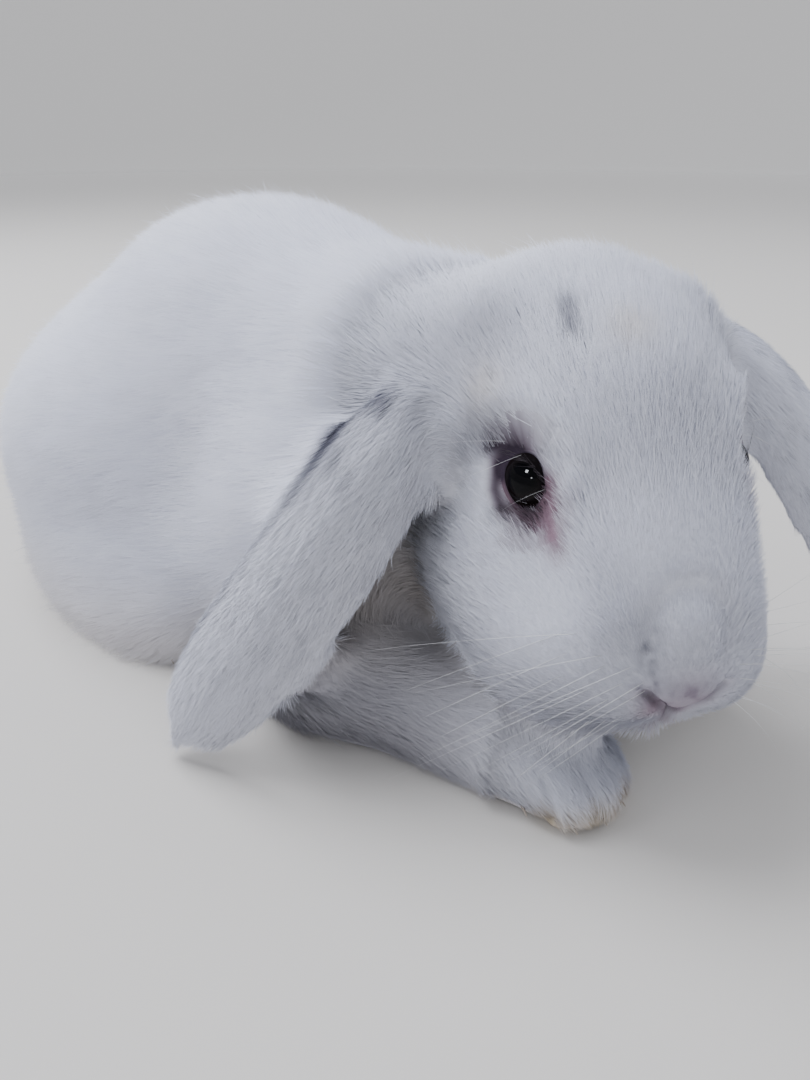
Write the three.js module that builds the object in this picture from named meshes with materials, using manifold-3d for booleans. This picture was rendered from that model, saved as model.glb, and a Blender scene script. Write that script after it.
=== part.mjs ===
// A lop rabbit at life size, crouched with its head turned to its right, as a still display model.
// Millimetres, +Z up, +X towards the animal's front, +Y to its left. Surfaces are the outside of the coat.
// Forms are placed from a point on the floor under the trunk, and the whole is centred at the end.
import * as THREE from "three";
import { mergeVertices } from "three/addons/utils/BufferGeometryUtils.js";
import Module from "manifold-3d";

const wasm = await Module();
wasm.setup();

const v3 = (x, y, z) => new THREE.Vector3(x, y, z);
const radians = THREE.MathUtils.degToRad;
const sides = { left: 1, right: -1 };
const both = (make) => Object.values(sides).map(make);

// ---- driving dimensions ----
const backHeight = 126; // floor to the top of the back
const haunchHalfWidth = 82;
const rumpReach = 118; // how far the rump goes behind the middle of the trunk
const headHalfWidth = 38; // across one cheek
const noseReach = 52; // from between the eyes to the tip of the nose
const crownHeight = 36; // from between the eyes up to the crown
const eyeRadius = 7.4;
const eyeOut = 23.2; // from the middle of the head to an eye's centre
const eyeAhead = 5.8;
const eyeUp = 5.4;
const earWidth = 38;
const earThickness = 6;
const pawLength = 41.5;
const pawWidth = 34;
const pawHeight = 18;
const hindFootWidth = 30;
const hindFootHeight = 19;
const toeCount = 4;
const toeRadius = 7;
const toeSetBack = 24; // how much an outer toe stands behind the middle ones, by the square of its place
const gap = 0.3; // between neighbouring pieces
const bellyClearance = 1.6; // the trunk's underside stays this far above the floor

// ---- the head's own frame: origin between the eyes, x to the nose, y to its left, z to the crown ----
const headPlace = v3(129.8, 4.6, 72.7);
const headYaw = -30; // turned to the right
const headPitch = 22; // nose down
const headTurn = new THREE.Euler(0, radians(headPitch), radians(headYaw), "ZYX");
const headFrame = new THREE.Matrix4().makeRotationFromEuler(headTurn).setPosition(headPlace);
const headFrameInverse = headFrame.clone().invert();
const headPoint = (x, y, z) => v3(x, y, z).applyMatrix4(headFrame);

// ---- fields: negative inside, roughly the distance in millimetres outside ----
function turned(turn) {
  const [pitch, roll, yaw] = turn.map(radians);
  return new THREE.Quaternion().setFromEuler(new THREE.Euler(roll, pitch, yaw, "ZYX"));
}

function ellipsoid(centre, radii, turn = [0, 0, 0]) {
  const back = turned(turn).invert();
  const q = v3();
  return (p) => {
    q.copy(p).sub(centre).applyQuaternion(back);
    const level = Math.hypot(q.x / radii.x, q.y / radii.y, q.z / radii.z);
    const slope = Math.hypot(q.x / radii.x ** 2, q.y / radii.y ** 2, q.z / radii.z ** 2);
    return slope > 1e-9 ? (level * (level - 1)) / slope : -Math.min(radii.x, radii.y, radii.z);
  };
}

// A capsule whose radius goes from startRadius to endRadius.
function limb(start, end, startRadius, endRadius) {
  const along = end.clone().sub(start);
  const q = v3();
  return (p) => {
    q.copy(p).sub(start);
    const t = THREE.MathUtils.clamp(q.dot(along) / along.lengthSq(), 0, 1);
    return q.addScaledVector(along, -t).length() - THREE.MathUtils.lerp(startRadius, endRadius, t);
  };
}

// Fields run together with fillets about as wide as soft.
function blend(soft, ...fields) {
  return (p) =>
    fields.reduce((nearest, field) => {
      const d = field(p);
      const overlap = Math.max(soft - Math.abs(nearest - d), 0) / soft;
      return Math.min(nearest, d) - (overlap * overlap * soft) / 4;
    }, 1e3);
}

// ---- solids ----
function solidOf(geometry) {
  const bare = new THREE.BufferGeometry().setAttribute("position", geometry.getAttribute("position"));
  if (geometry.index) bare.setIndex(geometry.index);
  const merged = mergeVertices(bare, 1e-4);
  const index = merged.index.array;
  const kept = [];
  for (let i = 0; i < index.length; i += 3) {
    const [a, b, c] = index.slice(i, i + 3);
    if (a !== b && b !== c && c !== a) kept.push(a, b, c);
  }
  return new wasm.Manifold(
    new wasm.Mesh({
      numProp: 3,
      vertProperties: merged.getAttribute("position").array,
      triVerts: new Uint32Array(kept),
    }),
  );
}

// The surface of a field as seen from a centre, by rays spread evenly over an ellipsoid of these radii.
function surface(field, centre, radii, detail, level = 0) {
  const reach = 1.7 * Math.max(...radii);
  const step = 1.5;
  const halvings = 12;
  const geometry = new THREE.IcosahedronGeometry(1, detail);
  geometry.deleteAttribute("normal");
  geometry.deleteAttribute("uv");
  const welded = mergeVertices(geometry, 1e-4);
  const spots = welded.getAttribute("position");
  const direction = v3();
  const spot = v3();
  const at = (distance) => field(spot.copy(centre).addScaledVector(direction, distance)) - level;
  for (let i = 0; i < spots.count; i++) {
    direction.fromBufferAttribute(spots, i).multiply(radii).normalize();
    let outside = step;
    while (outside < reach && at(outside) < 0) outside += step;
    let inside = outside - step;
    for (let k = 0; k < halvings; k++) {
      const halfway = (inside + outside) / 2;
      if (at(halfway) < 0) inside = halfway;
      else outside = halfway;
    }
    spots.setXYZ(i, ...spot.copy(centre).addScaledVector(direction, inside));
  }
  return solidOf(welded);
}

// Everything on the side of a plane that its normal points to.
function halfSpace(point, normal) {
  const size = 800;
  const box = new THREE.BoxGeometry(size, size, size).translate(0, 0, size / 2);
  const turn = new THREE.Quaternion().setFromUnitVectors(v3(0, 0, 1), normal.clone().normalize());
  return solidOf(box.applyQuaternion(turn).translate(point.x, point.y, point.z));
}

function ball(centre, radii, turn = [0, 0, 0], grow = 0) {
  const sphere = new THREE.SphereGeometry(1, 14, 9)
    .scale(radii.x + grow, radii.y + grow, radii.z + grow)
    .applyQuaternion(turned(turn))
    .translate(centre.x, centre.y, centre.z);
  return solidOf(sphere);
}

const shifted = (plane, by) => plane.point.clone().addScaledVector(plane.normal.clone().normalize(), by);
const ahead = (plane, by = 0) => halfSpace(shifted(plane, by), plane.normal);
const behind = (plane, by = 0) => halfSpace(shifted(plane, by), plane.normal.clone().negate());
const aboveFloor = halfSpace(v3(0, 0, 0), v3(0, 0, 1));
const aboveBelly = halfSpace(v3(0, 0, bellyClearance), v3(0, 0, 1));

// ---- the named pieces ----
const coat = (shade) => new THREE.MeshStandardMaterial({ color: shade, roughness: 0.9, metalness: 0 });
const whiteCoat = coat(0xe9eaee);
const greyishCoat = coat(0xd6d8de);
const creamyCoat = coat(0xe6dfd2);
const eyeMaterial = new THREE.MeshStandardMaterial({ color: 0x0a0809, roughness: 0.08, metalness: 0 });

const rabbit = new THREE.Group();
rabbit.name = "lop_rabbit";

function addPiece(name, solid, material) {
  const { numProp, vertProperties, triVerts } = solid.getMesh();
  const positions = vertProperties.filter((_, i) => i % numProp < 3);
  const geometry = new THREE.BufferGeometry()
    .setAttribute("position", new THREE.BufferAttribute(positions, 3))
    .setIndex(new THREE.BufferAttribute(triVerts, 1));
  geometry.computeVertexNormals();
  const mesh = new THREE.Mesh(geometry, material);
  mesh.name = name;
  rabbit.add(mesh);
}

// ---- trunk, haunches and neck: one flowing field ----
const neckRear = v3(62, 2, 74);
const neckFront = v3(102, 8, 80);
const neckLimb = limb(neckRear, neckFront, 38, 33);
const haunchRadii = v3(58, 36, 44);
const haunchCentre = (side) => v3(-34, side * (haunchHalfWidth - haunchRadii.y), 42);

const bodyField = blend(
  14,
  ellipsoid(v3(-8, 2, 62), v3(82, 60, backHeight - 63)), // barrel
  ellipsoid(v3(56 - rumpReach, 0, 50), v3(56, 64, 49)), // rump
  ellipsoid(v3(0, 0, 32), v3(92, 68, 33)), // belly
  ellipsoid(v3(46, 3, 70), v3(42, 40, 43)), // withers
  ellipsoid(v3(68, 1, 42), v3(40, 42, 38)), // breast
  ...both((side) => ellipsoid(haunchCentre(side), haunchRadii, [-10, 0, 0])),
  ...both((side) => ellipsoid(v3(-10, side * 54, 12), v3(58, 33, 26))), // low flank
  ...both((side) => ellipsoid(v3(62, side * 33, 42), v3(37, 24, 42), [14, 0, 0])), // shoulder
  neckLimb,
);

const trunkCentre = v3(-10, 0, 58);
const bodySpread = v3(114, 70, 62);
const bodyShell = surface(bodyField, trunkCentre, bodySpread, 7);
const bodyShellGrown = surface(bodyField, trunkCentre, bodySpread, 7, gap);

// ---- head ----
const inHead = (field) => {
  const q = v3();
  return (p) => field(q.copy(p).applyMatrix4(headFrameInverse));
};
const headForms = blend(
  9,
  ellipsoid(v3(-17, 0, crownHeight - 31), v3(40, headHalfWidth - 5, 31)), // skull
  ellipsoid(v3(-37, 0, 8), v3(23, 27, 25)), // nape
  ...both((side) => ellipsoid(v3(-6, side * 17, -16), v3(34, headHalfWidth - 17, 25))), // cheek
  ...both((side) => ellipsoid(v3(19, side * 13, -29), v3(27, 20, 20))), // jowl
  ellipsoid(v3(2, -26, -23), v3(28, 20, 20)), // loose skin gathered on the inside of the turn
  ellipsoid(v3(23, -18, -24), v3(27, 20, 20)), // and pushed forward under the cheek
  ellipsoid(v3(27, 0, -9), v3(25, 20, 18)), // muzzle
  ellipsoid(v3(20, 0, 3), v3(27, 22, 15), [22, 0, 0]), // bridge of the nose
  ellipsoid(v3(noseReach - 6, 0, -14), v3(8, 9, 8.5)), // nose
  ...both((side) => ellipsoid(v3(noseReach - 14, side * 11.5, -18), v3(15, 14, 15.5))), // whisker pad
  ellipsoid(v3(34, 0, -31), v3(17, 16, 13)), // chin
  ...both((side) => ellipsoid(v3(2, side * 20, 13), v3(13, 8, 8))), // brow
  ...both((side) => ellipsoid(v3(-29, side * 21, 16), v3(13, 13, 13))), // root of the ear
);
const headField = blend(12, inHead(headForms), neckLimb);
const headCentre = headPoint(-2, 0, -4);
const headSpread = v3(46, 42, 40);
const headShell = surface(headField, headCentre, headSpread, 8);
const headShellGrown = surface(headField, headCentre, headSpread, 8, gap);

// ---- paws: a pad with toes side by side, pointing along aim ----
const heading = (aim) => v3(Math.cos(radians(aim)), Math.sin(radians(aim)), 0);

function pawField(place, aim, length, width, height) {
  const forward = heading(aim);
  const across = heading(aim + 90);
  const at = (x, y, z) => place.clone().setZ(z).addScaledVector(forward, x).addScaledVector(across, y);
  const toes = Array.from({ length: toeCount }, (_, k) => {
    const share = k / (toeCount - 1) - 0.5;
    const reach = length / 2 - toeRadius - toeSetBack * share * share;
    const root = at(0, share * width * 0.5, height * 0.45);
    return limb(root, at(reach, share * width * 0.62, height * 0.28), toeRadius, toeRadius);
  });
  const pad = ellipsoid(at(-2, 0, height * 0.4), v3(length * 0.4, width * 0.46, height * 0.58), [0, 0, aim]);
  return blend(3, pad, ...toes);
}

// ---- hind feet, flat on the floor under the flanks ----
function hindFoot(side, level) {
  const heel = v3(-60, side * 58, 12);
  const instep = v3(6, side * 60, 10);
  const toes = pawField(v3(12, side * 61, 0), side * 3, 40, hindFootWidth, hindFootHeight);
  const field = blend(6, limb(heel, instep, 13, 12), toes);
  return surface(field, v3(-18, side * 60, 9), v3(46, 15, 10), 2, level);
}

// ---- partings between trunk, neck, head and haunches ----
const neckRearPlane = { point: v3(76, 0, 70), normal: v3(0.86, 0, 0.5) };
const neckFrontPlane = { point: v3(94, 8, 80), normal: v3(0.85, -0.3, 0.42) };
const thighRadii = v3(60, 40, 50);
const thighCut = (side, grow) =>
  ball(v3(-40, side * (haunchHalfWidth - 8), 38), thighRadii, [-20, 0, 0], grow);

let trunk = bodyShell.intersect(aboveBelly).intersect(behind(neckRearPlane));
for (const [word, side] of Object.entries(sides)) {
  const footRoom = hindFoot(side, gap);
  const haunch = bodyShell.intersect(aboveBelly).intersect(thighCut(side, 0)).subtract(footRoom);
  trunk = trunk.subtract(thighCut(side, gap)).subtract(footRoom);
  addPiece(`haunch_${word}`, haunch, whiteCoat);
  addPiece(`hind_foot_${word}`, hindFoot(side, 0).intersect(aboveFloor), creamyCoat);
}
addPiece("trunk", trunk, whiteCoat);

const neckField = blend(12, bodyField, headField);
const neckShell = surface(neckField, v3(88, 4, 72), v3(30, 40, 44), 4);
const neckShellGrown = surface(neckField, v3(88, 4, 72), v3(30, 40, 44), 4, gap);
const clear = (solid) => solid.subtract(bodyShellGrown).subtract(headShellGrown).subtract(neckShellGrown);
const neckSlab = ahead(neckRearPlane, gap).intersect(behind(neckFrontPlane));
addPiece("neck", neckShell.intersect(neckSlab).intersect(aboveBelly), whiteCoat);

let head = headShell.intersect(ahead(neckFrontPlane, gap));
const eyeRadii = v3(eyeRadius, eyeRadius, eyeRadius);
const lidRadii = v3(8, 7.2, 8);
for (const [word, side] of Object.entries(sides)) {
  const eyeCentre = headPoint(eyeAhead, side * eyeOut, eyeUp);
  const lidCentre = headPoint(eyeAhead + 5.5, side * (eyeOut + 5), eyeUp + 4);
  const lidOpening = ball(lidCentre, lidRadii, [headPitch, 0, headYaw]);
  head = head.subtract(ball(eyeCentre, eyeRadii, [0, 0, 0], gap)).subtract(lidOpening);
  addPiece(`eye_${word}`, ball(eyeCentre, eyeRadii), eyeMaterial);
}
addPiece("head", head, whiteCoat);

// ---- ears: leaves of flattened rings along a hanging line ----
const earRoot = (side) => [headPoint(-29, side * 20, 20), headPoint(-20, side * 42, 12)];
const earLines = {
  right: [...earRoot(sides.right), v3(96, -41, 79), v3(90, -60, 54), v3(79, -78, 25), v3(69, -88, 4)],
  left: [...earRoot(sides.left), v3(149, 57, 78), v3(162, 70, 55), v3(173, 84, 27), v3(179, 96, 8)],
};
const earFacing = { right: v3(0.38, -0.82, 0.42), left: v3(0.8, -0.2, 0.56) };
const earSpread = (t) => earWidth * Math.min(1, 0.75 + 0.5 * t) * Math.sqrt(1.004 - t ** 9);
const earCurl = (t) => 1.1 - 0.5 * t; // half the angle its cross-section bends through
const earRings = 16;
const earRingPoints = 12;

function ear(points, facing) {
  const line = new THREE.CatmullRomCurve3(points, false, "centripetal");
  const positions = [];
  for (let i = 0; i <= earRings; i++) {
    const t = i / earRings;
    const along = line.getTangentAt(t);
    const face = facing.clone().addScaledVector(along, -facing.dot(along)).normalize();
    const across = along.clone().cross(face);
    const bendRadius = earSpread(t) / 2 / earCurl(t);
    const thickness = earThickness * Math.min(1, 0.35 + earSpread(t) / earWidth);
    for (let k = 0; k < earRingPoints; k++) {
      const angle = (k / earRingPoints) * 2 * Math.PI;
      const bend = earCurl(t) * Math.cos(angle);
      const radius = bendRadius + (thickness / 2) * Math.sin(angle);
      const point = line
        .getPointAt(t)
        .addScaledVector(across, radius * Math.sin(bend))
        .addScaledVector(face, radius * Math.cos(bend) - bendRadius);
      positions.push(...point);
    }
  }
  const ring = (i, k) => i * earRingPoints + (k % earRingPoints);
  const index = [];
  for (let i = 0; i < earRings; i++) {
    for (let k = 0; k < earRingPoints; k++) {
      index.push(ring(i, k), ring(i + 1, k), ring(i, k + 1));
      index.push(ring(i, k + 1), ring(i + 1, k), ring(i + 1, k + 1));
    }
  }
  for (let k = 1; k < earRingPoints - 1; k++) {
    index.push(ring(0, 0), ring(0, k), ring(0, k + 1));
    index.push(ring(earRings, 0), ring(earRings, k + 1), ring(earRings, k));
  }
  const geometry = new THREE.BufferGeometry().setIndex(index);
  geometry.setAttribute("position", new THREE.BufferAttribute(new Float32Array(positions), 3));
  return solidOf(geometry);
}

for (const word of Object.keys(sides)) {
  const leaf = ear(earLines[word], earFacing[word]).intersect(aboveFloor);
  addPiece(`ear_${word}`, clear(leaf), greyishCoat);
}

// ---- forelegs ----
const wristToPaw = 19.5;
const wristToParting = 6;
const forelegs = {
  right: { elbow: v3(74, -44, 19), wrist: v3(121, -29.5, 11), aim: 17 },
  left: { elbow: v3(72, 38, 17), wrist: v3(110, 28, 10), aim: 4 },
};
for (const [word, { elbow, wrist, aim }] of Object.entries(forelegs)) {
  const pawCentre = wrist.clone().addScaledVector(heading(aim), wristToPaw).setZ(pawHeight / 2);
  const paw = pawField(pawCentre, aim, pawLength, pawWidth, pawHeight);
  const parting = wrist.clone().addScaledVector(heading(aim), wristToParting);
  const wristPlane = { point: parting, normal: heading(aim) };
  const forearm = blend(10, limb(elbow, wrist, 22, 17), ellipsoid(elbow, v3(28, 22, 26)), paw);
  const pawShell = surface(forearm, pawCentre, v3(22, 17, 12), 4).intersect(aboveFloor);
  const middle = elbow.clone().lerp(wrist, 0.5);
  const legShell = surface(forearm, middle, v3(40, 20, 22), 3).intersect(aboveFloor);
  addPiece(`forepaw_${word}`, clear(pawShell.intersect(ahead(wristPlane))), creamyCoat);
  addPiece(`foreleg_${word}`, clear(legShell.intersect(behind(wristPlane, -gap))), whiteCoat);
}

// ---- tail, tucked up against the rump ----
const tailRoot = v3(2 - rumpReach, 4, 42);
const tailTip = v3(6 - rumpReach, 4, 58);
const tailForms = [ellipsoid(tailRoot, v3(16, 19, 24), [18, 0, 0]), ellipsoid(tailTip, v3(9, 11, 12))];
const tailField = blend(6, ...tailForms);
const tailShell = surface(tailField, tailRoot.clone().lerp(tailTip, 0.25), v3(15, 17, 22), 3);
addPiece("tail", tailShell.subtract(bodyShellGrown), whiteCoat);

// ---- the origin goes under the middle of the whole animal ----
const extent = new THREE.Box3().setFromObject(rabbit);
const centre = extent.getCenter(v3());
rabbit.position.set(-centre.x, -centre.y, -extent.min.z);

export default rabbit;
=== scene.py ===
import math

import bmesh
import bpy
import numpy as np
from mathutils import Matrix, Vector, noise
from mathutils.bvhtree import BVHTree
from mathutils.kdtree import KDTree


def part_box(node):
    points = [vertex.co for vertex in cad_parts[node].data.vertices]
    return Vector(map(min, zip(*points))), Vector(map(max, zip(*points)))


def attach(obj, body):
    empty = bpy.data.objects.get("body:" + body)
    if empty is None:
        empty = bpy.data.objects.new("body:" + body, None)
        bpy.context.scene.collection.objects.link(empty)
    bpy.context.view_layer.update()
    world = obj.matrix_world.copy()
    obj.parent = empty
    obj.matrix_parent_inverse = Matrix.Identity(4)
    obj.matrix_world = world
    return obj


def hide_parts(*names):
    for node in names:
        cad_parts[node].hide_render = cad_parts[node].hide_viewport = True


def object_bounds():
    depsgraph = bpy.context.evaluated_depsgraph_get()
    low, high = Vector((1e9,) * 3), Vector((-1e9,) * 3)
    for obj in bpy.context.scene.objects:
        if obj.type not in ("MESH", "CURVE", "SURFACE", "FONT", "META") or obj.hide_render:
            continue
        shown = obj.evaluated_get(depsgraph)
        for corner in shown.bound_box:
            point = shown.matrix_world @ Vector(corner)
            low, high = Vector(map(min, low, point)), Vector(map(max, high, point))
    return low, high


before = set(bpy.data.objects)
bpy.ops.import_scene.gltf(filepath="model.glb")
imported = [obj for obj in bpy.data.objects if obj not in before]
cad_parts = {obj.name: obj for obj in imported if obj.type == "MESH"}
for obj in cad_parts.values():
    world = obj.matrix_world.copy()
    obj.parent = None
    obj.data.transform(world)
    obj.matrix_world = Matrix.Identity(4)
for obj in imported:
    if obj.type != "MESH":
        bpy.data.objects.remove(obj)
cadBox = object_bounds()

mm = 0.001
upAxis = np.array([0.0, 0.0, 1.0])
chance = np.random.default_rng(11)
noise.seed_set(11)  # noise vectors follow the clock unless they are seeded


# small helpers
def unit(v):
    return v / np.maximum(np.linalg.norm(v, axis=-1, keepdims=True), 1e-12)


def smoothStep(low, high, x):
    t = np.clip((x - low) / (high - low), 0, 1)
    return t * t * (3 - 2 * t)


def mix(a, b, t):
    return a + (b - a) * t


def bump(distance, radius):
    return np.exp(-(distance / radius) ** 2)


def boxCentre(node):
    low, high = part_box(node)
    return np.array((low + high) / 2)


def linkedObject(name, data):
    made = bpy.data.objects.new(name, data)
    bpy.context.scene.collection.objects.link(made)
    return made


def coordsOf(mesh):
    co = np.empty(len(mesh.vertices) * 3)
    mesh.vertices.foreach_get("co", co)
    return co.reshape(-1, 3)


def normalsOf(mesh):
    normals = np.empty(len(mesh.vertices) * 3)
    mesh.vertices.foreach_get("normal", normals)
    return normals.reshape(-1, 3)


def setCoords(mesh, co):
    mesh.vertices.foreach_set("co", np.ascontiguousarray(co, np.float32).ravel())
    mesh.update()


def edgesOf(mesh):
    edges = np.empty(len(mesh.edges) * 2, np.int32)
    mesh.edges.foreach_get("vertices", edges)
    return edges.reshape(-1, 2)


def spread(values, edges, rounds, rate=0.5):
    # each vertex moves towards the mean of its neighbours; the rate may differ from vertex to vertex
    count = len(values)
    degree = np.maximum(np.bincount(edges.ravel(), minlength=count), 1)
    values = values.copy()
    for _ in range(rounds):
        for k in range(values.shape[1]):
            total = np.bincount(edges[:, 0], values[edges[:, 1], k], count)
            total += np.bincount(edges[:, 1], values[edges[:, 0], k], count)
            values[:, k] += rate * (total / degree - values[:, k])
    return values


def storeNumbers(mesh, name, values, kind="FLOAT"):
    layer = mesh.attributes.new(name, kind, "POINT")
    field = "value" if kind == "FLOAT" else "vector"
    layer.data.foreach_set(field, np.asarray(values, np.float32).ravel())


def storeMap(mesh, uv):
    layer = mesh.uv_layers.new(name="OFBake")
    layer.data.foreach_set("uv", np.clip(uv, 0, 1).astype(np.float32).ravel())


def alongCurve(points, corners):
    # distance from each point to a polyline, and how far along it the nearest place is, 0 to 1
    corners = np.asarray(corners, float)
    steps = np.linalg.norm(np.diff(corners, axis=0), axis=1)
    start = np.concatenate([[0], np.cumsum(steps)])
    best = np.full(len(points), np.inf)
    place = np.zeros(len(points))
    for k, step in enumerate(steps):
        line = corners[k + 1] - corners[k]
        t = np.clip((points - corners[k]) @ line / step**2, 0, 1)
        away = np.linalg.norm(points - corners[k] - t[:, None] * line, axis=1)
        nearer = away < best
        best[nearer] = away[nearer]
        place[nearer] = ((start[k] + t * step) / start[-1])[nearer]
    return best, place


def wavy(points, size, seed=0.0):
    # smooth noise vectors, one for each point
    shift = Vector((seed, 2.3 * seed, -1.7 * seed))
    return np.array([noise.noise_vector(Vector(p) / size + shift) for p in points.tolist()])


# where the head and eyes are
headPose = {
    "pitch": 22,  # degrees, nose down
    "eyeAhead": 5.8,  # the eyes' place in the head's frame, in mm
    "eyeUp": 5.4,
    "leftEyeIn": 1.3,  # how much deeper the left eye sits, in mm
}

eyeCentre = {side: boxCentre(f"eye_{side}") for side in ("left", "right")}
eyeRadius = float((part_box("eye_right")[1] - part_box("eye_right")[0]).z / 2)
headLeft = unit(eyeCentre["left"] - eyeCentre["right"])
headLevel = np.cross(headLeft, upAxis)
pitch = math.radians(headPose["pitch"])
headAhead = headLevel * math.cos(pitch) - upAxis * math.sin(pitch)
headTurn = np.stack([headAhead, headLeft, np.cross(headAhead, headLeft)], axis=1)
eyeMiddle = (eyeCentre["left"] + eyeCentre["right"]) / 2
headOrigin = eyeMiddle - headTurn @ (np.array([headPose["eyeAhead"], 0, headPose["eyeUp"]]) * mm)
eyeCentre["left"] = eyeCentre["left"] - headLeft * headPose["leftEyeIn"] * mm


def toHead(points):
    # millimetres in the head's own frame: x to the nose, y to its left, z to the crown
    return (points - headOrigin) @ headTurn / mm


def fromHead(points):
    return np.asarray(points, float) * mm @ headTurn.T + headOrigin


# the skin: one surface in place of every flesh node
fleshNodes = [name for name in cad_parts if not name.startswith("eye_")]
partOf = [name.replace("_left", "").replace("_right", "") for name in fleshNodes]
thinParts = ("ear", "forepaw", "hind_foot", "foreleg", "tail")
slimParts = ("ear", "forepaw", "hind_foot", "tail")
skinValues = {
    "voxel": 1.5 * mm,
    "overlap": 0.4,  # how far each solid grows before they are joined, in mm
    "fillIn": 1.5,  # the same for the large forms, which fills the creases between them
    "earPit": ((-20.8, -55.8, -4.9), 7.5),  # a ball behind the right ear's root, in the head's frame
    "rounds": 24,  # of smoothing, at the two rates that follow
    "bodyRate": 0.5,
    "earRate": 0.16,
    "refill": 50,  # rounds that spread the volume lost by smoothing
    "blendRounds": 6,  # between one part's values and the next
    "muzzle": (49, 0, -15),
    "fineRadii": (18, 13),  # round the eyes and muzzle, in mm, each cut finer than the one before
    "sinkSteps": 5,
    "sinkAimRounds": 5,
    "settle": 0.25,
    "coatShare": 0.72,  # how much of the coat's depth the skin sinks by
    "standShare": 0.5,  # how much of it is kept back where the hair stands out
    "thinShare": 0.32,  # the most that a thin part gives up of its thickness
    "thickest": 40.0,  # thin parts are under this, in mm
}


def growthOf(kind):
    slim = kind in slimParts or kind.startswith("eye")
    return skinValues["overlap"] if slim else skinValues["fillIn"]


def partGrowth():
    # how far the solid under each vertex has grown, blended from part to part
    grown = np.array([growthOf(kind) for kind in partOf])[owner]
    return spread(grown[:, None], edges, skinValues["blendRounds"])[:, 0]


def fleshUnion():
    joined = bmesh.new()
    for name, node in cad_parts.items():
        mesh = node.data.copy()
        grown = growthOf(name.replace("_left", "").replace("_right", "")) * mm
        setCoords(mesh, coordsOf(mesh) + normalsOf(mesh) * grown)
        joined.from_mesh(mesh)
        bpy.data.meshes.remove(mesh)
    place, radius = skinValues["earPit"]
    ball = Matrix.Translation(Vector(fromHead(place)))
    bmesh.ops.create_icosphere(joined, subdivisions=3, radius=radius * mm, matrix=ball)
    mesh = bpy.data.meshes.new("skin")
    joined.to_mesh(mesh)
    joined.free()
    made = linkedObject("skin", mesh)
    remesh = made.modifiers.new("one surface", "REMESH")
    remesh.mode = "VOXEL"
    remesh.voxel_size = skinValues["voxel"]
    remesh.use_smooth_shade = True
    bpy.context.view_layer.update()
    smoothed = made.evaluated_get(bpy.context.evaluated_depsgraph_get())
    surface = bpy.data.meshes.new_from_object(smoothed)
    made.modifiers.clear()
    made.data = surface
    return made


def keepLargest(mesh):
    # labels spread along the edges until each separate surface has one label
    edges = edgesOf(mesh)
    label = np.arange(len(mesh.vertices))
    while True:
        lowest = np.minimum(label[edges[:, 0]], label[edges[:, 1]])
        before = label.copy()
        np.minimum.at(label, edges[:, 0], lowest)
        np.minimum.at(label, edges[:, 1], lowest)
        label = label[label]
        if (label == before).all():
            break
    biggest = np.bincount(label).argmax()
    work = bmesh.new()
    work.from_mesh(mesh)
    work.verts.ensure_lookup_table()
    stray = [work.verts[int(i)] for i in np.nonzero(label != biggest)[0]]
    bmesh.ops.delete(work, geom=stray, context="VERTS")
    work.to_mesh(mesh)
    work.free()


def nearestPart(points):
    # index into fleshNodes of the node that lies closest to each point
    corners, faces, owner = [], [], []
    for index, name in enumerate(fleshNodes):
        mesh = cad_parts[name].data
        start = len(corners)
        corners += [v.co[:] for v in mesh.vertices]
        faces += [[start + v for v in p.vertices] for p in mesh.polygons]
        owner += [index] * len(mesh.polygons)
    tree = BVHTree.FromPolygons(corners, faces)
    return np.array([owner[tree.find_nearest(p)[2]] for p in points.tolist()])


def isPart(owner, *kinds):
    return np.isin(owner, [i for i, kind in enumerate(partOf) if kind in kinds])


def refineFace(mesh, reach, centres):
    work = bmesh.new()
    work.from_mesh(mesh)
    co = coordsOf(mesh)
    near = np.zeros(len(co), bool)
    for centre in centres:
        near |= np.linalg.norm(co - centre, axis=1) < reach * mm
    cut = [e for e in work.edges if near[e.verts[0].index] and near[e.verts[1].index]]
    bmesh.ops.subdivide_edges(work, edges=cut, cuts=1, use_grid_fill=True, smooth=0.0)
    bmesh.ops.triangulate(work, faces=[f for f in work.faces if len(f.verts) > 4])
    work.to_mesh(mesh)
    work.free()
    mesh.update()


skin = fleshUnion()
keepLargest(skin.data)
owner = nearestPart(coordsOf(skin.data))
rate = mix(skinValues["bodyRate"], skinValues["earRate"], isPart(owner, "ear").astype(float))
edges = edgesOf(skin.data)
rate = spread(rate[:, None], edges, skinValues["blendRounds"])[:, 0]
blocky = coordsOf(skin.data)
softened = spread(blocky, edges, skinValues["rounds"], rate)
setCoords(skin.data, softened)
outward = normalsOf(skin.data)
lost = ((blocky - softened) * outward).sum(1, keepdims=True)
setCoords(skin.data, softened + outward * spread(lost, edges, skinValues["refill"]))

for reach in skinValues["fineRadii"]:
    refineFace(skin.data, reach, [*eyeCentre.values(), fromHead(skinValues["muzzle"])])
print("skin surface:", len(skin.data.vertices), "vertices")


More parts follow.
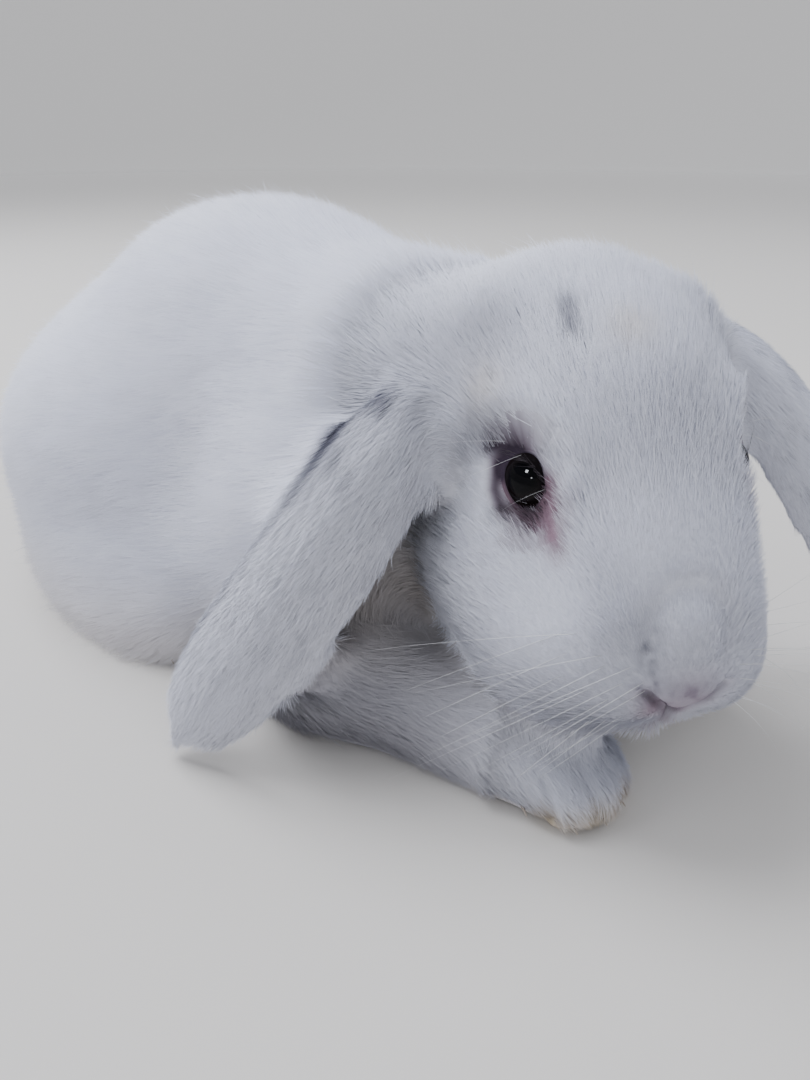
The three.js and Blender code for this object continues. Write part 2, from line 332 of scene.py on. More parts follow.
# how the coat grows on each part: depth, tuft length and width in mm, tufts per square mm
coatValues = {
    "trunk": (4.5, 13.0, 0.38, 2.3),
    "haunch": (4.5, 13.0, 0.38, 2.3),
    "neck": (4.5, 12.0, 0.36, 2.6),
    "head": (2.6, 8.0, 0.25, 5.6),
    "ear": (1.3, 6.0, 0.25, 4.8),
    "foreleg": (2.4, 8.0, 0.27, 4.4),
    "forepaw": (1.8, 5.0, 0.25, 6.0),
    "hind_foot": (1.3, 5.0, 0.32, 3.0),
    "tail": (6.0, 12.0, 0.42, 2.6),
}
coatDepth, coatLength, coatWidth, coatDensity = range(4)
placeValues = {  # depth, length and width at places that differ from the part round them
    "eye": (0.25, 1.5, 0.16),
    "nose": (0.3, 1.5, 0.16),
    "elbow": (3.6, 11.0, 0.30),
    "earRidge": (2.4, 9.0, 0.28),
    "earEdge": (0.9, 3.6, 0.2),
    "sole": (0.1, 2.2, 0.3),
}
headZones = [  # from none to full along the head's x and z, in mm, then the coat there
    ((30, 2), (6, -14), (4.2, 11.0, 0.32)),  # cheeks
    ((8, -22), (8, 24), (3.6, 9.0, 0.30)),  # crown
    ((-30, -48), (-10, 4), (4.6, 13.0, 0.33)),  # nape
    ((-8, 10), (-22, -4), (1.5, 5.5, 0.23)),  # face
    ((20, 38), (-36, -12), (0.9, 3.4, 0.22)),  # muzzle
]
zoneValues = {
    "rounds": 26,  # of blending between the zones
    "nose": (53, 0, -15),
    "noseReach": 11,  # in mm, as the reaches below
    "lidReach": 4.5,
    "socketReach": 8,
    "socketDepth": 0.5,
    "elbowReach": 20,
}

co = coordsOf(skin.data)
edges = edgesOf(skin.data)
owner = nearestPart(co)
face = toHead(co)
onHead = isPart(owner, "head")

growth = np.array([coatValues[kind] for kind in partOf])[owner]


def growTowards(values, share):
    # blends a place's own depth, length and width into the coat there
    for k, value in enumerate(values):
        growth[:, k] = mix(growth[:, k], value, share)


def onlyOn(chosen, values):
    # the values at the chosen places, and nothing elsewhere
    whole = np.zeros(len(co))
    whole[chosen] = values
    return whole


for ahead, upwards, coat in headZones:
    growTowards(coat, smoothStep(*ahead, face[:, 0]) * smoothStep(*upwards, face[:, 2]) * onHead)
growth = spread(growth, edges, zoneValues["rounds"])
noseAway = np.linalg.norm((face - zoneValues["nose"]) * (1, 0.9, 1), axis=1)
growTowards(placeValues["nose"], bump(noseAway, zoneValues["noseReach"]))
for centre in eyeCentre.values():
    fromEye = np.maximum(np.linalg.norm(co - centre, axis=1) - eyeRadius, 0) / mm
    growTowards(placeValues["eye"], bump(fromEye, zoneValues["lidReach"]) * onHead)
    growTowards((zoneValues["socketDepth"],), bump(fromEye, zoneValues["socketReach"]) * onHead)

# lines on the head along which the hair stands out: points, reach and extra height in mm
standValues = [
    ([(10, 24, 14), (18, 21.5, 12)], 5, 3.0),
    ([(18, 21, 12), (28, 19, 8), (42, 17, 0)], 6, 1.7),
    ([(-30, 0, 36), (-6, 0, 37)], 16, 1.0),
    ([(30, 14, -40), (44, 8, -32)], 7, 1.2),
]
standing = np.zeros(len(co))
for line, reach, height in standValues:
    for mirror in (1, -1):
        away = alongCurve(face, np.array(line) * (1, mirror, 1))[0]
        standing = np.maximum(standing, height * bump(away, reach) * onHead)

# tangent directions in which the hair lies, part by part
lieValues = {
    "bodyFall": 0.42,  # how much the body's hair falls as it runs back
    "noseSource": (62, 0, -20),  # the head's hair runs away from here
    "earFan": 0.1,
    "pawFall": 0.15,
    "elbow": (0.3, 0.25, -0.9),
    "headOnFall": 1.2,  # hair that would stand straight up or down falls instead
    "passes": 4,
    "rounds": 10,
    "sway": 0.16,
    "swaySize": 0.022,
    "swayLength": 9,
}
pawAims = {  # degrees to the left of straight ahead
    "forepaw_left": 4,
    "forepaw_right": -18,
    "hind_foot_left": 3,
    "hind_foot_right": -3,
}
lie = np.tile([-1.0, 0.0, -lieValues["bodyFall"]], (len(co), 1))
fromNose = (face - lieValues["noseSource"]) @ headTurn.T
lie[onHead] = unit(fromNose)[onHead]
spines = {}


def spineOf(chosen, start, knots=9):
    # centre line of a long part through the middle of its slices, from the end nearest to start
    points = co[chosen]
    centre = points.mean(0)
    axes = np.linalg.svd(points - centre, full_matrices=False)[2]
    along = (points - centre) @ axes[0]
    fromStart = [np.linalg.norm(centre + axes[0] * end - start) for end in (along.min(), along.max())]
    if fromStart[0] > fromStart[1]:
        axes[0] *= -1
        along = -along
    ends = np.linspace(along.min(), along.max(), knots + 1)
    line = [points[(along >= a) & (along <= b)].mean(0) for a, b in zip(ends[:-1], ends[1:])]
    line[0] += axes[0] * (ends[0] - (line[0] - centre) @ axes[0])
    line[-1] += axes[0] * (ends[-1] - (line[-1] - centre) @ axes[0])
    return np.array(line), axes


def lieAlong(name, start, fan=0.0):
    chosen = owner == fleshNodes.index(name)
    line, axes = spineOf(chosen, start)
    heading = np.gradient(line, axis=0)
    place = alongCurve(co[chosen], line)[1]
    knots = np.linspace(0, 1, len(line))
    direction = unit(np.stack([np.interp(place, knots, heading[:, k]) for k in range(3)], axis=1))
    middle = np.stack([np.interp(place, knots, line[:, k]) for k in range(3)], axis=1)
    across = (co[chosen] - middle) @ axes[1]
    share = across / np.abs(across).max()
    lie[chosen] = direction + fan * share[:, None] * axes[1]
    front = share * np.sign(axes[1][0])
    spines[name] = {"chosen": chosen, "place": place, "across": across, "front": front, "root": line[0]}


for side in ("left", "right"):
    lieAlong(f"ear_{side}", headOrigin, fan=lieValues["earFan"])
    lieAlong(f"foreleg_{side}", boxCentre("trunk"))
for name, aim in pawAims.items():
    turn = math.radians(aim)
    lie[owner == fleshNodes.index(name)] = (math.cos(turn), math.sin(turn), -lieValues["pawFall"])
    if name.startswith("fore"):
        elbow = co - spines[name.replace("paw", "leg")]["root"]
        hanging = bump(np.linalg.norm(elbow, axis=1) / mm, zoneValues["elbowReach"])
        hanging *= isPart(owner, "foreleg", "neck")
        outward = (1, math.copysign(1, elbow[0, 1]), 1)
        lie = mix(unit(lie), np.array(lieValues["elbow"]) * outward, hanging[:, None])
        growTowards(placeValues["elbow"], hanging)
tailRoot = np.array((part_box("tail")[1].x, boxCentre("tail")[1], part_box("tail")[0].z))
lie[isPart(owner, "tail")] = unit(co - tailRoot)[isPart(owner, "tail")]

normals = normalsOf(skin.data)


def laidFlat(directions):
    return unit(directions - normals * (directions * normals).sum(1, keepdims=True))


for _ in range(lieValues["passes"]):
    headOn = np.abs((unit(lie) * normals).sum(1, keepdims=True))
    lie = lie - upAxis * lieValues["headOnFall"] * smoothStep(0.75, 1.0, headOn) * ~onHead[:, None]
    lie = spread(laidFlat(lie), edges, lieValues["rounds"])
for centre in eyeCentre.values():
    away = co - centre
    nearLid = bump((np.linalg.norm(away, axis=1) - eyeRadius) / mm, zoneValues["lidReach"]) * onHead
    lie = mix(lie, unit(away), nearLid[:, None])
for name in ("ear_left", "ear_right"):
    ear = spines[name]
    place, front = ear["place"], ear["front"]
    ridge = bump(front - 0.4, 0.28) * smoothStep(0.75, 0.3, place) * smoothStep(0.04, 0.16, place)
    growTowards(placeValues["earRidge"], onlyOn(ear["chosen"], ridge))
    growTowards(placeValues["earEdge"], onlyOn(ear["chosen"], smoothStep(0.62, 0.9, front)))
sway = wavy(co, lieValues["swaySize"], 3) + 0.5 * wavy(co, lieValues["swaySize"] / 3, 5)
sway *= lieValues["sway"] * np.minimum(growth[:, coatLength] / lieValues["swayLength"], 1)[:, None]
lie = laidFlat(laidFlat(lie) + sway)
print("coat's depth and lie set")

# the skin sinks by the coat's depth, and stays on the floor where the feet rest
sole = smoothStep(4, 1.2, co[:, 2] / mm) * smoothStep(-0.5, -0.85, normals[:, 2])
growTowards(placeValues["sole"], sole)
growth[:, coatDensity] *= 1 - 0.9 * sole
sink = growth[:, coatDepth] * skinValues["coatShare"] + partGrowth()
sink -= skinValues["standShare"] * standing
solid = BVHTree.FromObject(skin, bpy.context.evaluated_depsgraph_get())
room = np.full(len(co), skinValues["thickest"])
for k in np.nonzero(isPart(owner, *thinParts))[0]:
    inwards = Vector(-normals[k])
    across = solid.ray_cast(Vector(co[k]) + inwards * 0.2 * mm, inwards, 50 * mm)[3]
    room[k] = across / mm if across else skinValues["thickest"]
sink = np.minimum(sink, spread((room * skinValues["thinShare"])[:, None], edges, 3)[:, 0])
growth[:, coatDepth] = np.minimum(growth[:, coatDepth], np.maximum(sink, 0.5)) + standing
for _ in range(skinValues["sinkSteps"]):
    setCoords(skin.data, co)
    inwards = -unit(spread(normalsOf(skin.data), edges, skinValues["sinkAimRounds"]))
    co = co + inwards * sink[:, None] * mm / skinValues["sinkSteps"]
    co = mix(co, spread(co, edges, 1), skinValues["settle"])


# eyelids: the skin near each eye is moved in or out from the eye's own centre
lidValues = {
    "axis": (0.50, -0.64, 0.585),  # middle of the right eye's opening, in the head's frame
    "opening": 46,  # degrees from that axis to the lid's edge
    "stretch": (7.5, -20),  # how much longer than wide, and which way, in degrees
    "corner": (-40, 18, 27),  # front corner: where round the opening, how much further, how wide
    "inside": -1.0,  # mm above the eyeball, as the next two
    "edge": 0.3,
    "rim": 0.6,
    "crease": 0.4,
    "depth": 9,  # only skin this near to the eyeball is moved, in mm
}


def lidFrame(side):
    # outward axis of the opening, then forward and up round it, in the head's frame
    mirror = np.array([1, 1 if side == "right" else -1, 1])
    axis = unit(np.array(lidValues["axis"])) * mirror
    ahead = unit(np.array([1.0, 0, 0]) - axis[0] * axis)
    up = np.cross(ahead, axis) * (-1 if side == "right" else 1)
    return axis, ahead, up * np.sign(up[2])


def roundOpening(points, side):
    # how far each point is from the opening's middle, as a share of the way to the lid's edge
    axis, ahead, up = lidFrame(side)
    local = points - (headPose["eyeAhead"], toHead(eyeCentre[side])[1], headPose["eyeUp"])
    away = np.linalg.norm(local, axis=1)
    aim = unit(local)
    turn = np.degrees(np.arccos(np.clip(aim @ axis, -1, 1)))
    around = np.degrees(np.arctan2(aim @ up, aim @ ahead))
    longer, way = lidValues["stretch"]
    corner, more, width = lidValues["corner"]
    reach = lidValues["opening"] + longer * np.cos(2 * np.radians(around - way))
    reach += more * bump((around - corner + 180) % 360 - 180, width)
    return turn / reach, away, around, aim


def shapeLids(points):
    radius = eyeRadius / mm
    for side in ("left", "right"):
        share, away, _, aim = roundOpening(points, side)
        lid = radius + mix(lidValues["inside"], lidValues["edge"], smoothStep(0.93, 1.02, share))
        lid += (lidValues["rim"] - lidValues["edge"]) * smoothStep(1.02, 1.15, share)
        lid -= lidValues["crease"] * bump(share - 1.32, 0.08)
        blend = smoothStep(1.12, 1.6, share)
        natural = np.maximum(away, radius + lidValues["rim"])
        shaped = mix(lid, natural, blend)
        near = (away < radius + lidValues["depth"]) & (share < 1.6)
        points[near] += (aim * (shaped - away)[:, None])[near]
    return points


# nose, mouth and muzzle, as grooves and swellings along curves in the head's frame, in mm
muzzleValues = {
    "centre": (30, 0, -12),  # the surface moves to and from this point
    "middle": -1.0,  # the nose points a little to the right of the head's middle
    "farArm": 0.45,  # how strong the left arm of the nose's V is beside the right one
    "pillow": [(48, 0, 1), (50.5, 0, -3.5)],
    "tip": [(54, -6, -12), (54, 2, -12)],
    "whiskerPad": [(51, 11, -19), (44, 16, -20)],
    "noseArm": [(55, 0, -20.4), (55, 2.6, -17.8), (54.8, 5.3, -15), (53.3, 9.1, -12)],
    "nostril": [(54.6, 4.4, -14.2), (54.2, 6.4, -12.6), (53.4, 8.2, -11.4)],
    "cleft": [(55, 0, -20.4), (53, 0, -24.5), (48, 0, -29)],
    "mouth": [(48, 0, -29), (44, 6, -32), (38, 12, -33), (33, 15, -31)],
    "reach": 75,  # of the head's skin that is shaped
}
muzzleRelief = {  # height above the skin, or depth where below 0, and half width
    "pillow": (1.3, 5.4),
    "tip": (1.0, 4.0),
    "whiskerPad": (1.5, 6.5),
    "noseArm": (-1.9, 1.2),
    "nostril": (-0.9, 0.8),
    "cleft": (-2.0, 1.4),
    "mouth": (-2.0, 1.4),
}


def onSkin(curve):
    return toHead(np.array([headTree.find_nearest(Vector(p))[0] for p in fromHead(curve)]))


def bothSides(name):
    # a line of the muzzle laid on the skin, on the left and on the right
    shift = (0, muzzleValues["middle"], 0)
    return [onSkin(np.array(muzzleValues[name]) * (1, side, 1) + shift) for side in (1, -1)]


def sideStrengths(name):
    return zip((muzzleValues["farArm"], 1), bothSides(name))


toeValues = {"grooves": (-0.5, 0.05, 0.55), "depth": 0.9, "width": 1.0, "length": 18 * mm}


def betweenToes(name):
    # how much each point of a paw lies in a groove between toes, 0 to 1
    chosen = np.nonzero(owner == fleshNodes.index(name))[0]
    aim = math.radians(pawAims[name])
    points = co[chosen, :2]
    along = points @ (math.cos(aim), math.sin(aim))
    across = points @ (-math.sin(aim), math.cos(aim))
    toeEnd = along.max()
    front = along > toeEnd - toeValues["length"]
    middle = (across[front].max() + across[front].min()) / 2
    halfWidth = (across[front].max() - across[front].min()) / 2
    places = [middle + place * halfWidth for place in toeValues["grooves"]]
    groove = sum(bump(across - place, toeValues["width"] * mm) for place in places)
    return chosen, groove * smoothStep(13, 6, (toeEnd - along) / mm), toeEnd - along


def shapeMuzzle(points):
    def relief(name, curve, strength=1.0):
        height, width = muzzleRelief[name]
        return height * strength * bump(alongCurve(points, curve)[0], width)

    middle = (0, muzzleValues["middle"], 0)
    pillow = np.array(muzzleValues["pillow"]) + middle
    ring = bump(alongCurve(points, pillow)[0] - 8.5, 3.2) * smoothStep(-12, -4, points[:, 2])
    push = relief("pillow", pillow) - 0.9 * ring
    push += relief("tip", muzzleValues["tip"])
    for side in (1, -1):
        push += relief("whiskerPad", np.array(muzzleValues["whiskerPad"]) * (1, side, 1))
    for strength, curve in sideStrengths("noseArm"):
        push += relief("noseArm", curve, strength)
    for curve in bothSides("nostril"):
        push += relief("nostril", curve)
    push += relief("cleft", bothSides("cleft")[0])
    for curve in bothSides("mouth"):
        along = alongCurve(points, curve)[1]
        push += relief("mouth", curve, mix(1.0, 0.4, smoothStep(0.15, 0.6, along)))
    return points + unit(points - muzzleValues["centre"]) * push[:, None]


toeGap = np.zeros(len(co))
toTip = np.ones(len(co))  # how far the skin of the paws is behind their front, in metres
for name in pawAims:
    chosen, groove, away = betweenToes(name)
    toeGap[chosen] = groove
    toTip[chosen] = away
setCoords(skin.data, co)
co -= normalsOf(skin.data) * (toeGap * toeValues["depth"] * mm)[:, None]
setCoords(skin.data, co)
headTree = BVHTree.FromObject(skin, bpy.context.evaluated_depsgraph_get())
nearHead = np.linalg.norm(toHead(co), axis=1) < muzzleValues["reach"]
co[nearHead] = fromHead(shapeMuzzle(shapeLids(toHead(co[nearHead]))))
co[:, 2] = np.maximum(co[:, 2], 0.0)
setCoords(skin.data, co)
normals = normalsOf(skin.data)
face = toHead(co)
print("lids, nose and mouth shaped")


# markings and painted shade, the same on skin and coat: grey (grey hair, and painted shade behind,
# under and between parts), warm (cream, and painted warm shade), pink, and dark round the eyes and
# mouth, with painted shade between the toes
spotValues = {  # places in the head's frame and half widths, in mm
    "crown": [((-19.5, -13.5, 34.7), 2.3), ((-15.5, -14.4, 34.3), 1.5), ((-11.9, -14.8, 33.2), 1.6)],
    "temple": [((-3, -34.5, 14), 6), ((-6, -37, 6), 6)],
    "cream": [((-9.8, -2.6, 35.5), 5), ((-11.7, -33.3, 20.2), 5)],
    "muzzle": [
        ((52.2, -9.4, -6.4), 1.0),
        ((51.4, -10, -4.8), 0.8),
        ((49.5, -11.5, -3.6), 0.8),
        ((54, -1, -10), 0.9),
    ],
    "neck": [((-30, 46, 12), 16), ((-24, 30, 26), 9)],
}
lineValues = {  # lines on the head's right side
    "earFront": [
        (-10.6, -35.8, 15.7),
        (-7.2, -36.4, 11.2),
        (-5.2, -37.6, 5.5),
        (-3.5, -39.1, -0.7),
        (-2.8, -41.9, -7.3),
    ],
    "tears": [(12.5, -23, 9.5), (17.5, -23.5, 7.2), (20.5, -23.5, 4.8), (23, -23.5, 3.2)],
    "eyeFold": [(12.5, -25.1, 3.5), (17.7, -24.6, 5.4)],
    "underEye": [
        (17, -26, 2.2),
        (12.9, -28.8, 1.4),
        (9.6, -31.3, 0.9),
        (6.1, -32.1, 3.2),
        (3.4, -32.2, 8.3),
    ],
    "overEye": [(-2.3, -31.6, 9.7), (-0.5, -28.5, 11.4), (3, -25, 12.4), (6.6, -23.2, 12.6)],
    "stipple": [(45, -10, 1.5), (49.5, -9.6, -4.5), (52.5, -9, -8.5)],
}
grey, warm, pink, dark, bareSkin = (np.zeros(len(co)) for _ in range(5))
eyeLines = (  # line, half width, pink, dark
    ("eyeFold", 0.9, 0.0, 0.6),
    ("underEye", 2.0, 0.6, 0.85),
    ("overEye", 2.3, 0.1, 1.1),
)
lidMarks = (  # which mark, how strong, which way and how wide in degrees, how far out and how soft
    (pink, 0.6, -5, 50, 1.12, 0.22),
    (dark, 0.25, -10, 40, 1.06, 0.1),
    (dark, 0.4, -110, 65, 1.1, 0.1),
    (dark, 0.5, 165, 42, 1.12, 0.16),
    (grey, 0.5, 150, 40, 1.45, 0.3),
    (pink, 0.55, -110, 80, 1.1, 0.25),
    (dark, 0.85, -170, 55, 1.2, 0.2),
)
earStrength = {"ear_left": 0.35, "ear_right": 1.0}
earMarks = (  # how strong, where along the ear and how long, where across it and how wide
    (0.9, 0.2, 0.16, 0.9, 0.18),
    (0.6, 0.09, 0.03, 0.45, 0.25),
    (0.55, 0.25, 0.045, 0.5, 0.1),
    (0.45, 0.28, 0.03, 0.15, 0.08),
)
noseMarks = (  # place, half width, dark, pink, grey
    # the first, dark in the lips' cleft, is partly painted shade in the groove and partly the lips' own
    # dark
    ((54.8, -0.8, -21), 2.0, 0.6, 0.0, 0.0),
    ((54.4, -8.4, -16.8), 3.2, 0.1, 0.45, 0.1),
    ((54.9, -1, -12), 6.0, 0.0, 0.4, 0.3),
    ((54.6, 3.6, -14), 2.4, 0.12, 0.2, 0.2),
)


def spots(name, mirror=1):
    places = onSkin(np.array([place for place, size in spotValues[name]]) * (1, mirror, 1))
    sizes = [size for place, size in spotValues[name]]
    return sum(bump(np.linalg.norm(face - place, axis=1), size) for place, size in zip(places, sizes))


def fromLine(name, mirror=1):
    # distance from a line laid on the skin, and how far along it
    return alongCurve(face, onSkin(np.array(lineValues[name]) * (1, mirror, 1)))


grey += 0.95 * spots("crown") + 0.4 * spots("muzzle") + 0.3 * spots("temple")
dark += 0.2 * spots("crown")
# a painted shadow that the right ear's front rim casts on the cheek, grey with a little warm
earFront = fromLine("earFront")[0]
grey += 0.3 * bump(earFront, 2.2)
warm += 0.08 * bump(earFront, 3) + 0.24 * spots("cream")
# painted shade behind the ears' roots, strongest on the right, partly grey hair there
grey += 0.14 * spots("neck") + 0.34 * spots("neck", -1)
eyeShare = np.full(len(co), 9.0)
for side, mirror in (("left", -1), ("right", 1)):
    share, away, around, _ = roundOpening(face, side)
    close = smoothStep(eyeRadius / mm + 9, eyeRadius / mm + 5, away) * onHead
    eyeShare = np.where(close > 0, np.minimum(eyeShare, share), eyeShare)
    fromTears, down = fromLine("tears", mirror)
    pink += 0.9 * bump(fromTears, mix(3.7, 3.1, down)) * onHead
    bareSkin += bump(fromTears, mix(3.8, 3.2, down)) * onHead
    for line, width, rosy, black in eyeLines:
        near = bump(fromLine(line, mirror)[0], width) * onHead
        pink += rosy * near
        bareSkin += rosy * near
        dark += black * near

    def towards(way, width):
        return bump((around - way + 180) % 360 - 180, width)

    for mark, strength, way, width, out, soft in lidMarks:
        mark += strength * towards(way, width) * bump(share - out, soft) * close
    dark += 0.75 * bump(share - 0.98, 0.05) * close
    pink += 0.7 * (1 - 0.75 * towards(90, 55)) * bump(share - 1.08, 0.12) * close
    behind = smoothStep(1.0, 1.1, share) * smoothStep(1.5, 1.3, share)
    pink += 0.45 * towards(-170, 55) * behind * close
for name, strength in earStrength.items():
    ear = spines[name]
    place, rear = ear["place"], -ear["front"]
    fine = np.stack([place * 7, ear["across"] / mm / 2.6, np.zeros(len(place))], axis=1)
    streaks = np.array([noise.noise(Vector(p)) for p in fine.tolist()])
    # the grey band just inside the rear rim is painted shadow of the rolled rim
    added = 0.02 + 0.36 * bump(rear - 0.76, 0.1) * smoothStep(1.0, 0.8, place)
    added += 0.34 * np.maximum(streaks - 0.08, 0) * smoothStep(0.98, 0.7, place)
    for amount, along, length, back, width in earMarks:
        added += amount * bump(place - along, length) * bump(rear - back, width)
    grey[ear["chosen"]] += strength * added
for strength, curve in sideStrengths("noseArm"):
    dark += 0.8 * strength * bump(alongCurve(face, curve)[0], 1.0)
    pink += 0.3 * strength * bump(alongCurve(face, curve)[0], 3.0)
for strength, curve in sideStrengths("nostril"):
    dark += 0.35 * strength * bump(alongCurve(face, curve)[0], 0.8)
mouthLines = [(curve, 0.8) for curve in bothSides("mouth")] + [(bothSides("cleft")[0], 0)]
for curve, fading in mouthLines:
    away, along = alongCurve(face, curve)
    strength = 1 - fading * smoothStep(0.15, 0.6, along)
    dark += 0.7 * strength * bump(away, 1.2)
    pink += 0.35 * strength * bump(away, 2.8)
fine = np.maximum([noise.noise(Vector(p) * 0.55) for p in face.tolist()], 0)
pillow = onSkin(np.array(muzzleValues["pillow"]) + (0, muzzleValues["middle"], 0))
fromPillow = alongCurve(face, pillow)[0]
# painted shade in the hollow round the nose's pillow
grey += 0.1 * bump(fromPillow - 8, 3) * smoothStep(-14, -6, face[:, 2]) * onHead
# painted shade towards the front of the muzzle, with some of the nose's own grey
grey += 0.22 * smoothStep(34, 54, face[:, 0]) * smoothStep(8, -4, face[:, 2]) * onHead
# painted shade under the head
grey += 0.1 * smoothStep(-8, -26, face[:, 2]) * onHead
grey += 0.9 * fine * bump(fromLine("stipple")[0], 2.6)
for place, size, black, rosy, soft in noseMarks:
    near = bump(np.linalg.norm(face - onSkin(np.array([place]))[0], axis=1), size)
    dark += black * near
    pink += rosy * near
    grey += soft * near * (1 + 1.5 * fine)
ahead, leftwards, height = (co / mm).T
body = isPart(owner, "trunk", "haunch")
low = smoothStep(8.5, 3, height)
# painted shade in the grooves between the toes
dark += 0.4 * toeGap * low
warm += (0.5 * toeGap + 0.45 * smoothStep(11, 3, toTip / mm)) * low
warm += 0.25 * smoothStep(5, 1, height) * isPart(owner, "forepaw", "hind_foot")
# painted shade, warm and grey, along the lower body
warm += 0.25 * smoothStep(35, 4, height) * body
grey += 0.12 * smoothStep(60, 20, height) * body
# painted shadow of the ear and head on the neck, foreleg and forepaw, grey, with painted warm light
# thrown up from below, most on the right side
under = smoothStep(65, 35, height) * smoothStep(128, 85, ahead)
under *= isPart(owner, "neck", "foreleg", "forepaw")
onRight = mix(1.0, 0.4, smoothStep(-20, 10, leftwards))
warm += under * mix(0.2, 0.6, smoothStep(20, 40, height)) * onRight
grey += 0.58 * under
bareSkin = np.clip(bareSkin, 0, 1)
for measure, less in ((coatLength, 0.5), (coatDepth, 0.6), (coatDensity, 0.92)):
    growth[:, measure] *= 1 - less * bareSkin
marks = np.clip(spread(np.stack([grey, warm, pink, dark], axis=1), edges, 1), 0, 1)
print("markings laid")

# an unwrap of the skin, which the coat's own map follows
bpy.context.view_layer.objects.active = skin
skin.select_set(True)
bpy.ops.object.mode_set(mode="EDIT")
bpy.ops.mesh.select_all(action="SELECT")
bpy.ops.uv.smart_project(angle_limit=1.15, island_margin=0.001)
bpy.ops.object.mode_set(mode="OBJECT")
skin.data.uv_layers[0].name = "OFBake"
storeNumbers(skin.data, "markings", marks[:, :3], "FLOAT_VECTOR")
storeNumbers(skin.data, "darkRim", marks[:, 3])

# the coat
tuftValues = {
    "triangles": 1_380_000,
    "perPiece": 49_000,
    "root": 0.35,  # how deep a root sits in the skin, in mm
    "turn": 0.17,
    "clumpSpacing": 0.3,  # of a tuft's length
    "clumpPull": 0.25,
    "patch": 0.0015,
    "softNormals": 0.88,
    "roll": 0.12,
    "seenAt": 0.62,  # a tuft takes its colour from this far along, where it shows
    "lift": (0.8, 1.25),
    "streaky": {"ear": 0.48, "head": 0.07, "forepaw": 0.08, "foreleg": 0.08},  # greyer locks
    "streakyElsewhere": 0.05,
    "floorGap": 0.1,  # how far the coat stays above the floor, in mm
}

skinTree = KDTree(len(co))
for index, point in enumerate(co.tolist()):
    skinTree.insert(point, index)
skinTree.balance()


def skinTriangles():
    mesh = skin.data
    mesh.calc_loop_triangles()
    corners = np.empty(len(mesh.loop_triangles) * 3, np.int32)
    loops = np.empty(len(mesh.loop_triangles) * 3, np.int32)
    mesh.loop_triangles.foreach_get("vertices", corners)
    mesh.loop_triangles.foreach_get("loops", loops)
    uv = np.empty(len(mesh.loops) * 2)
    mesh.uv_layers["OFBake"].data.foreach_get("uv", uv)
    return corners.reshape(-1, 3), uv.reshape(-1, 2)[loops.reshape(-1, 3)]


def scatter(weights, count):
    total = np.cumsum(weights)
    pick = (np.arange(count) + chance.random(count)) / count * total[-1]
    chosen = np.minimum(np.searchsorted(total, pick), len(weights) - 1)
    a, b = chance.random((2, count))
    fold = a + b > 1
    a[fold], b[fold] = 1 - a[fold], 1 - b[fold]
    return chosen, np.stack([1 - a - b, a, b], axis=1)


def rootsOn(corners, cornerUv, chosen, share):
    def blend(values):
        return (values[corners[chosen]] * share[..., None]).sum(1)

    roots = {
        "co": blend(co),
        "normal": unit(blend(normals)),
        "growth": blend(growth),
        "uv": (cornerUv[chosen] * share[..., None]).sum(1),
        "owner": owner[corners[chosen, 0]],
        "eyeShare": blend(eyeShare[:, None])[:, 0],
    }
    direction = blend(lie)
    direction -= roots["normal"] * (direction * roots["normal"]).sum(1, keepdims=True)
    roots["lie"] = unit(direction)
    seenAt = roots["growth"][:, coatLength] * tuftValues["seenAt"] * mm
    seen = roots["co"] + roots["lie"] * seenAt[:, None]
    roots["marks"] = marks[[skinTree.find(point)[1] for point in seen.tolist()]]
    return roots


def pulledTips(roots, tips):
    # tips lean towards the tip of the lock that they stand in
    length = roots["growth"][:, coatLength]
    tuftsInLock = roots["growth"][:, coatDensity] * (tuftValues["clumpSpacing"] * length) ** 2
    locks = np.nonzero(chance.random(len(tips)) < 1 / tuftsInLock)[0]
    tree = KDTree(len(locks))
    for k, place in enumerate(roots["co"][locks].tolist()):
        tree.insert(place, k)
    tree.balance()
    nearest = locks[[tree.find(place)[1] for place in roots["co"].tolist()]]
    pull = tips[nearest] - tips
    reach = np.linalg.norm(pull, axis=1)
    pull *= (tuftValues["clumpPull"] * smoothStep(1.2, 0.5, reach / mm / length))[:, None]
    return tips + pull, nearest


def makeTufts(roots):
    count = len(roots["co"])
    length = roots["growth"][:, coatLength] * chance.uniform(0.72, 1.08, count)
    width = roots["growth"][:, coatWidth] * chance.uniform(0.8, 1.25, count)
    lift = np.clip(roots["growth"][:, coatDepth] / roots["growth"][:, coatLength], 0.05, 0.8)
    lift = np.arcsin(lift) * chance.uniform(*tuftValues["lift"], count)
    side = np.cross(roots["lie"], roots["normal"])
    turn = chance.normal(0, tuftValues["turn"], count)[:, None]
    flat = roots["lie"] * np.cos(turn) + side * np.sin(turn)
    axis = flat * np.cos(lift)[:, None] + roots["normal"] * np.sin(lift)[:, None]
    start = roots["co"] - roots["normal"] * tuftValues["root"] * mm
    tips, lock = pulledTips(roots, start + axis * length[:, None] * mm)
    axis = unit(tips - start)
    side = unit(np.cross(axis, roots["normal"]))
    roll = chance.normal(0, tuftValues["roll"], count)[:, None]
    top = np.cross(side, axis)
    side, top = side * np.cos(roll) + top * np.sin(roll), top * np.cos(roll) - side * np.sin(roll)
    half = width[:, None] / 2 * mm
    tips[:, 2] = np.maximum(tips[:, 2], 1.5 * tuftValues["floorGap"] * mm)
    spike = np.stack([start + side * half, start - side * half, start - top * half, tips], axis=1)
    spike[..., 2] = np.maximum(spike[..., 2], tuftValues["floorGap"] * mm)
    return spike, lock


spikeFaces = np.array([(0, 3, 1), (1, 3, 2), (2, 3, 0), (0, 1, 2)])
spikeMap = np.array([(-1, -1), (1, -1), (0, 0), (0, 1)])


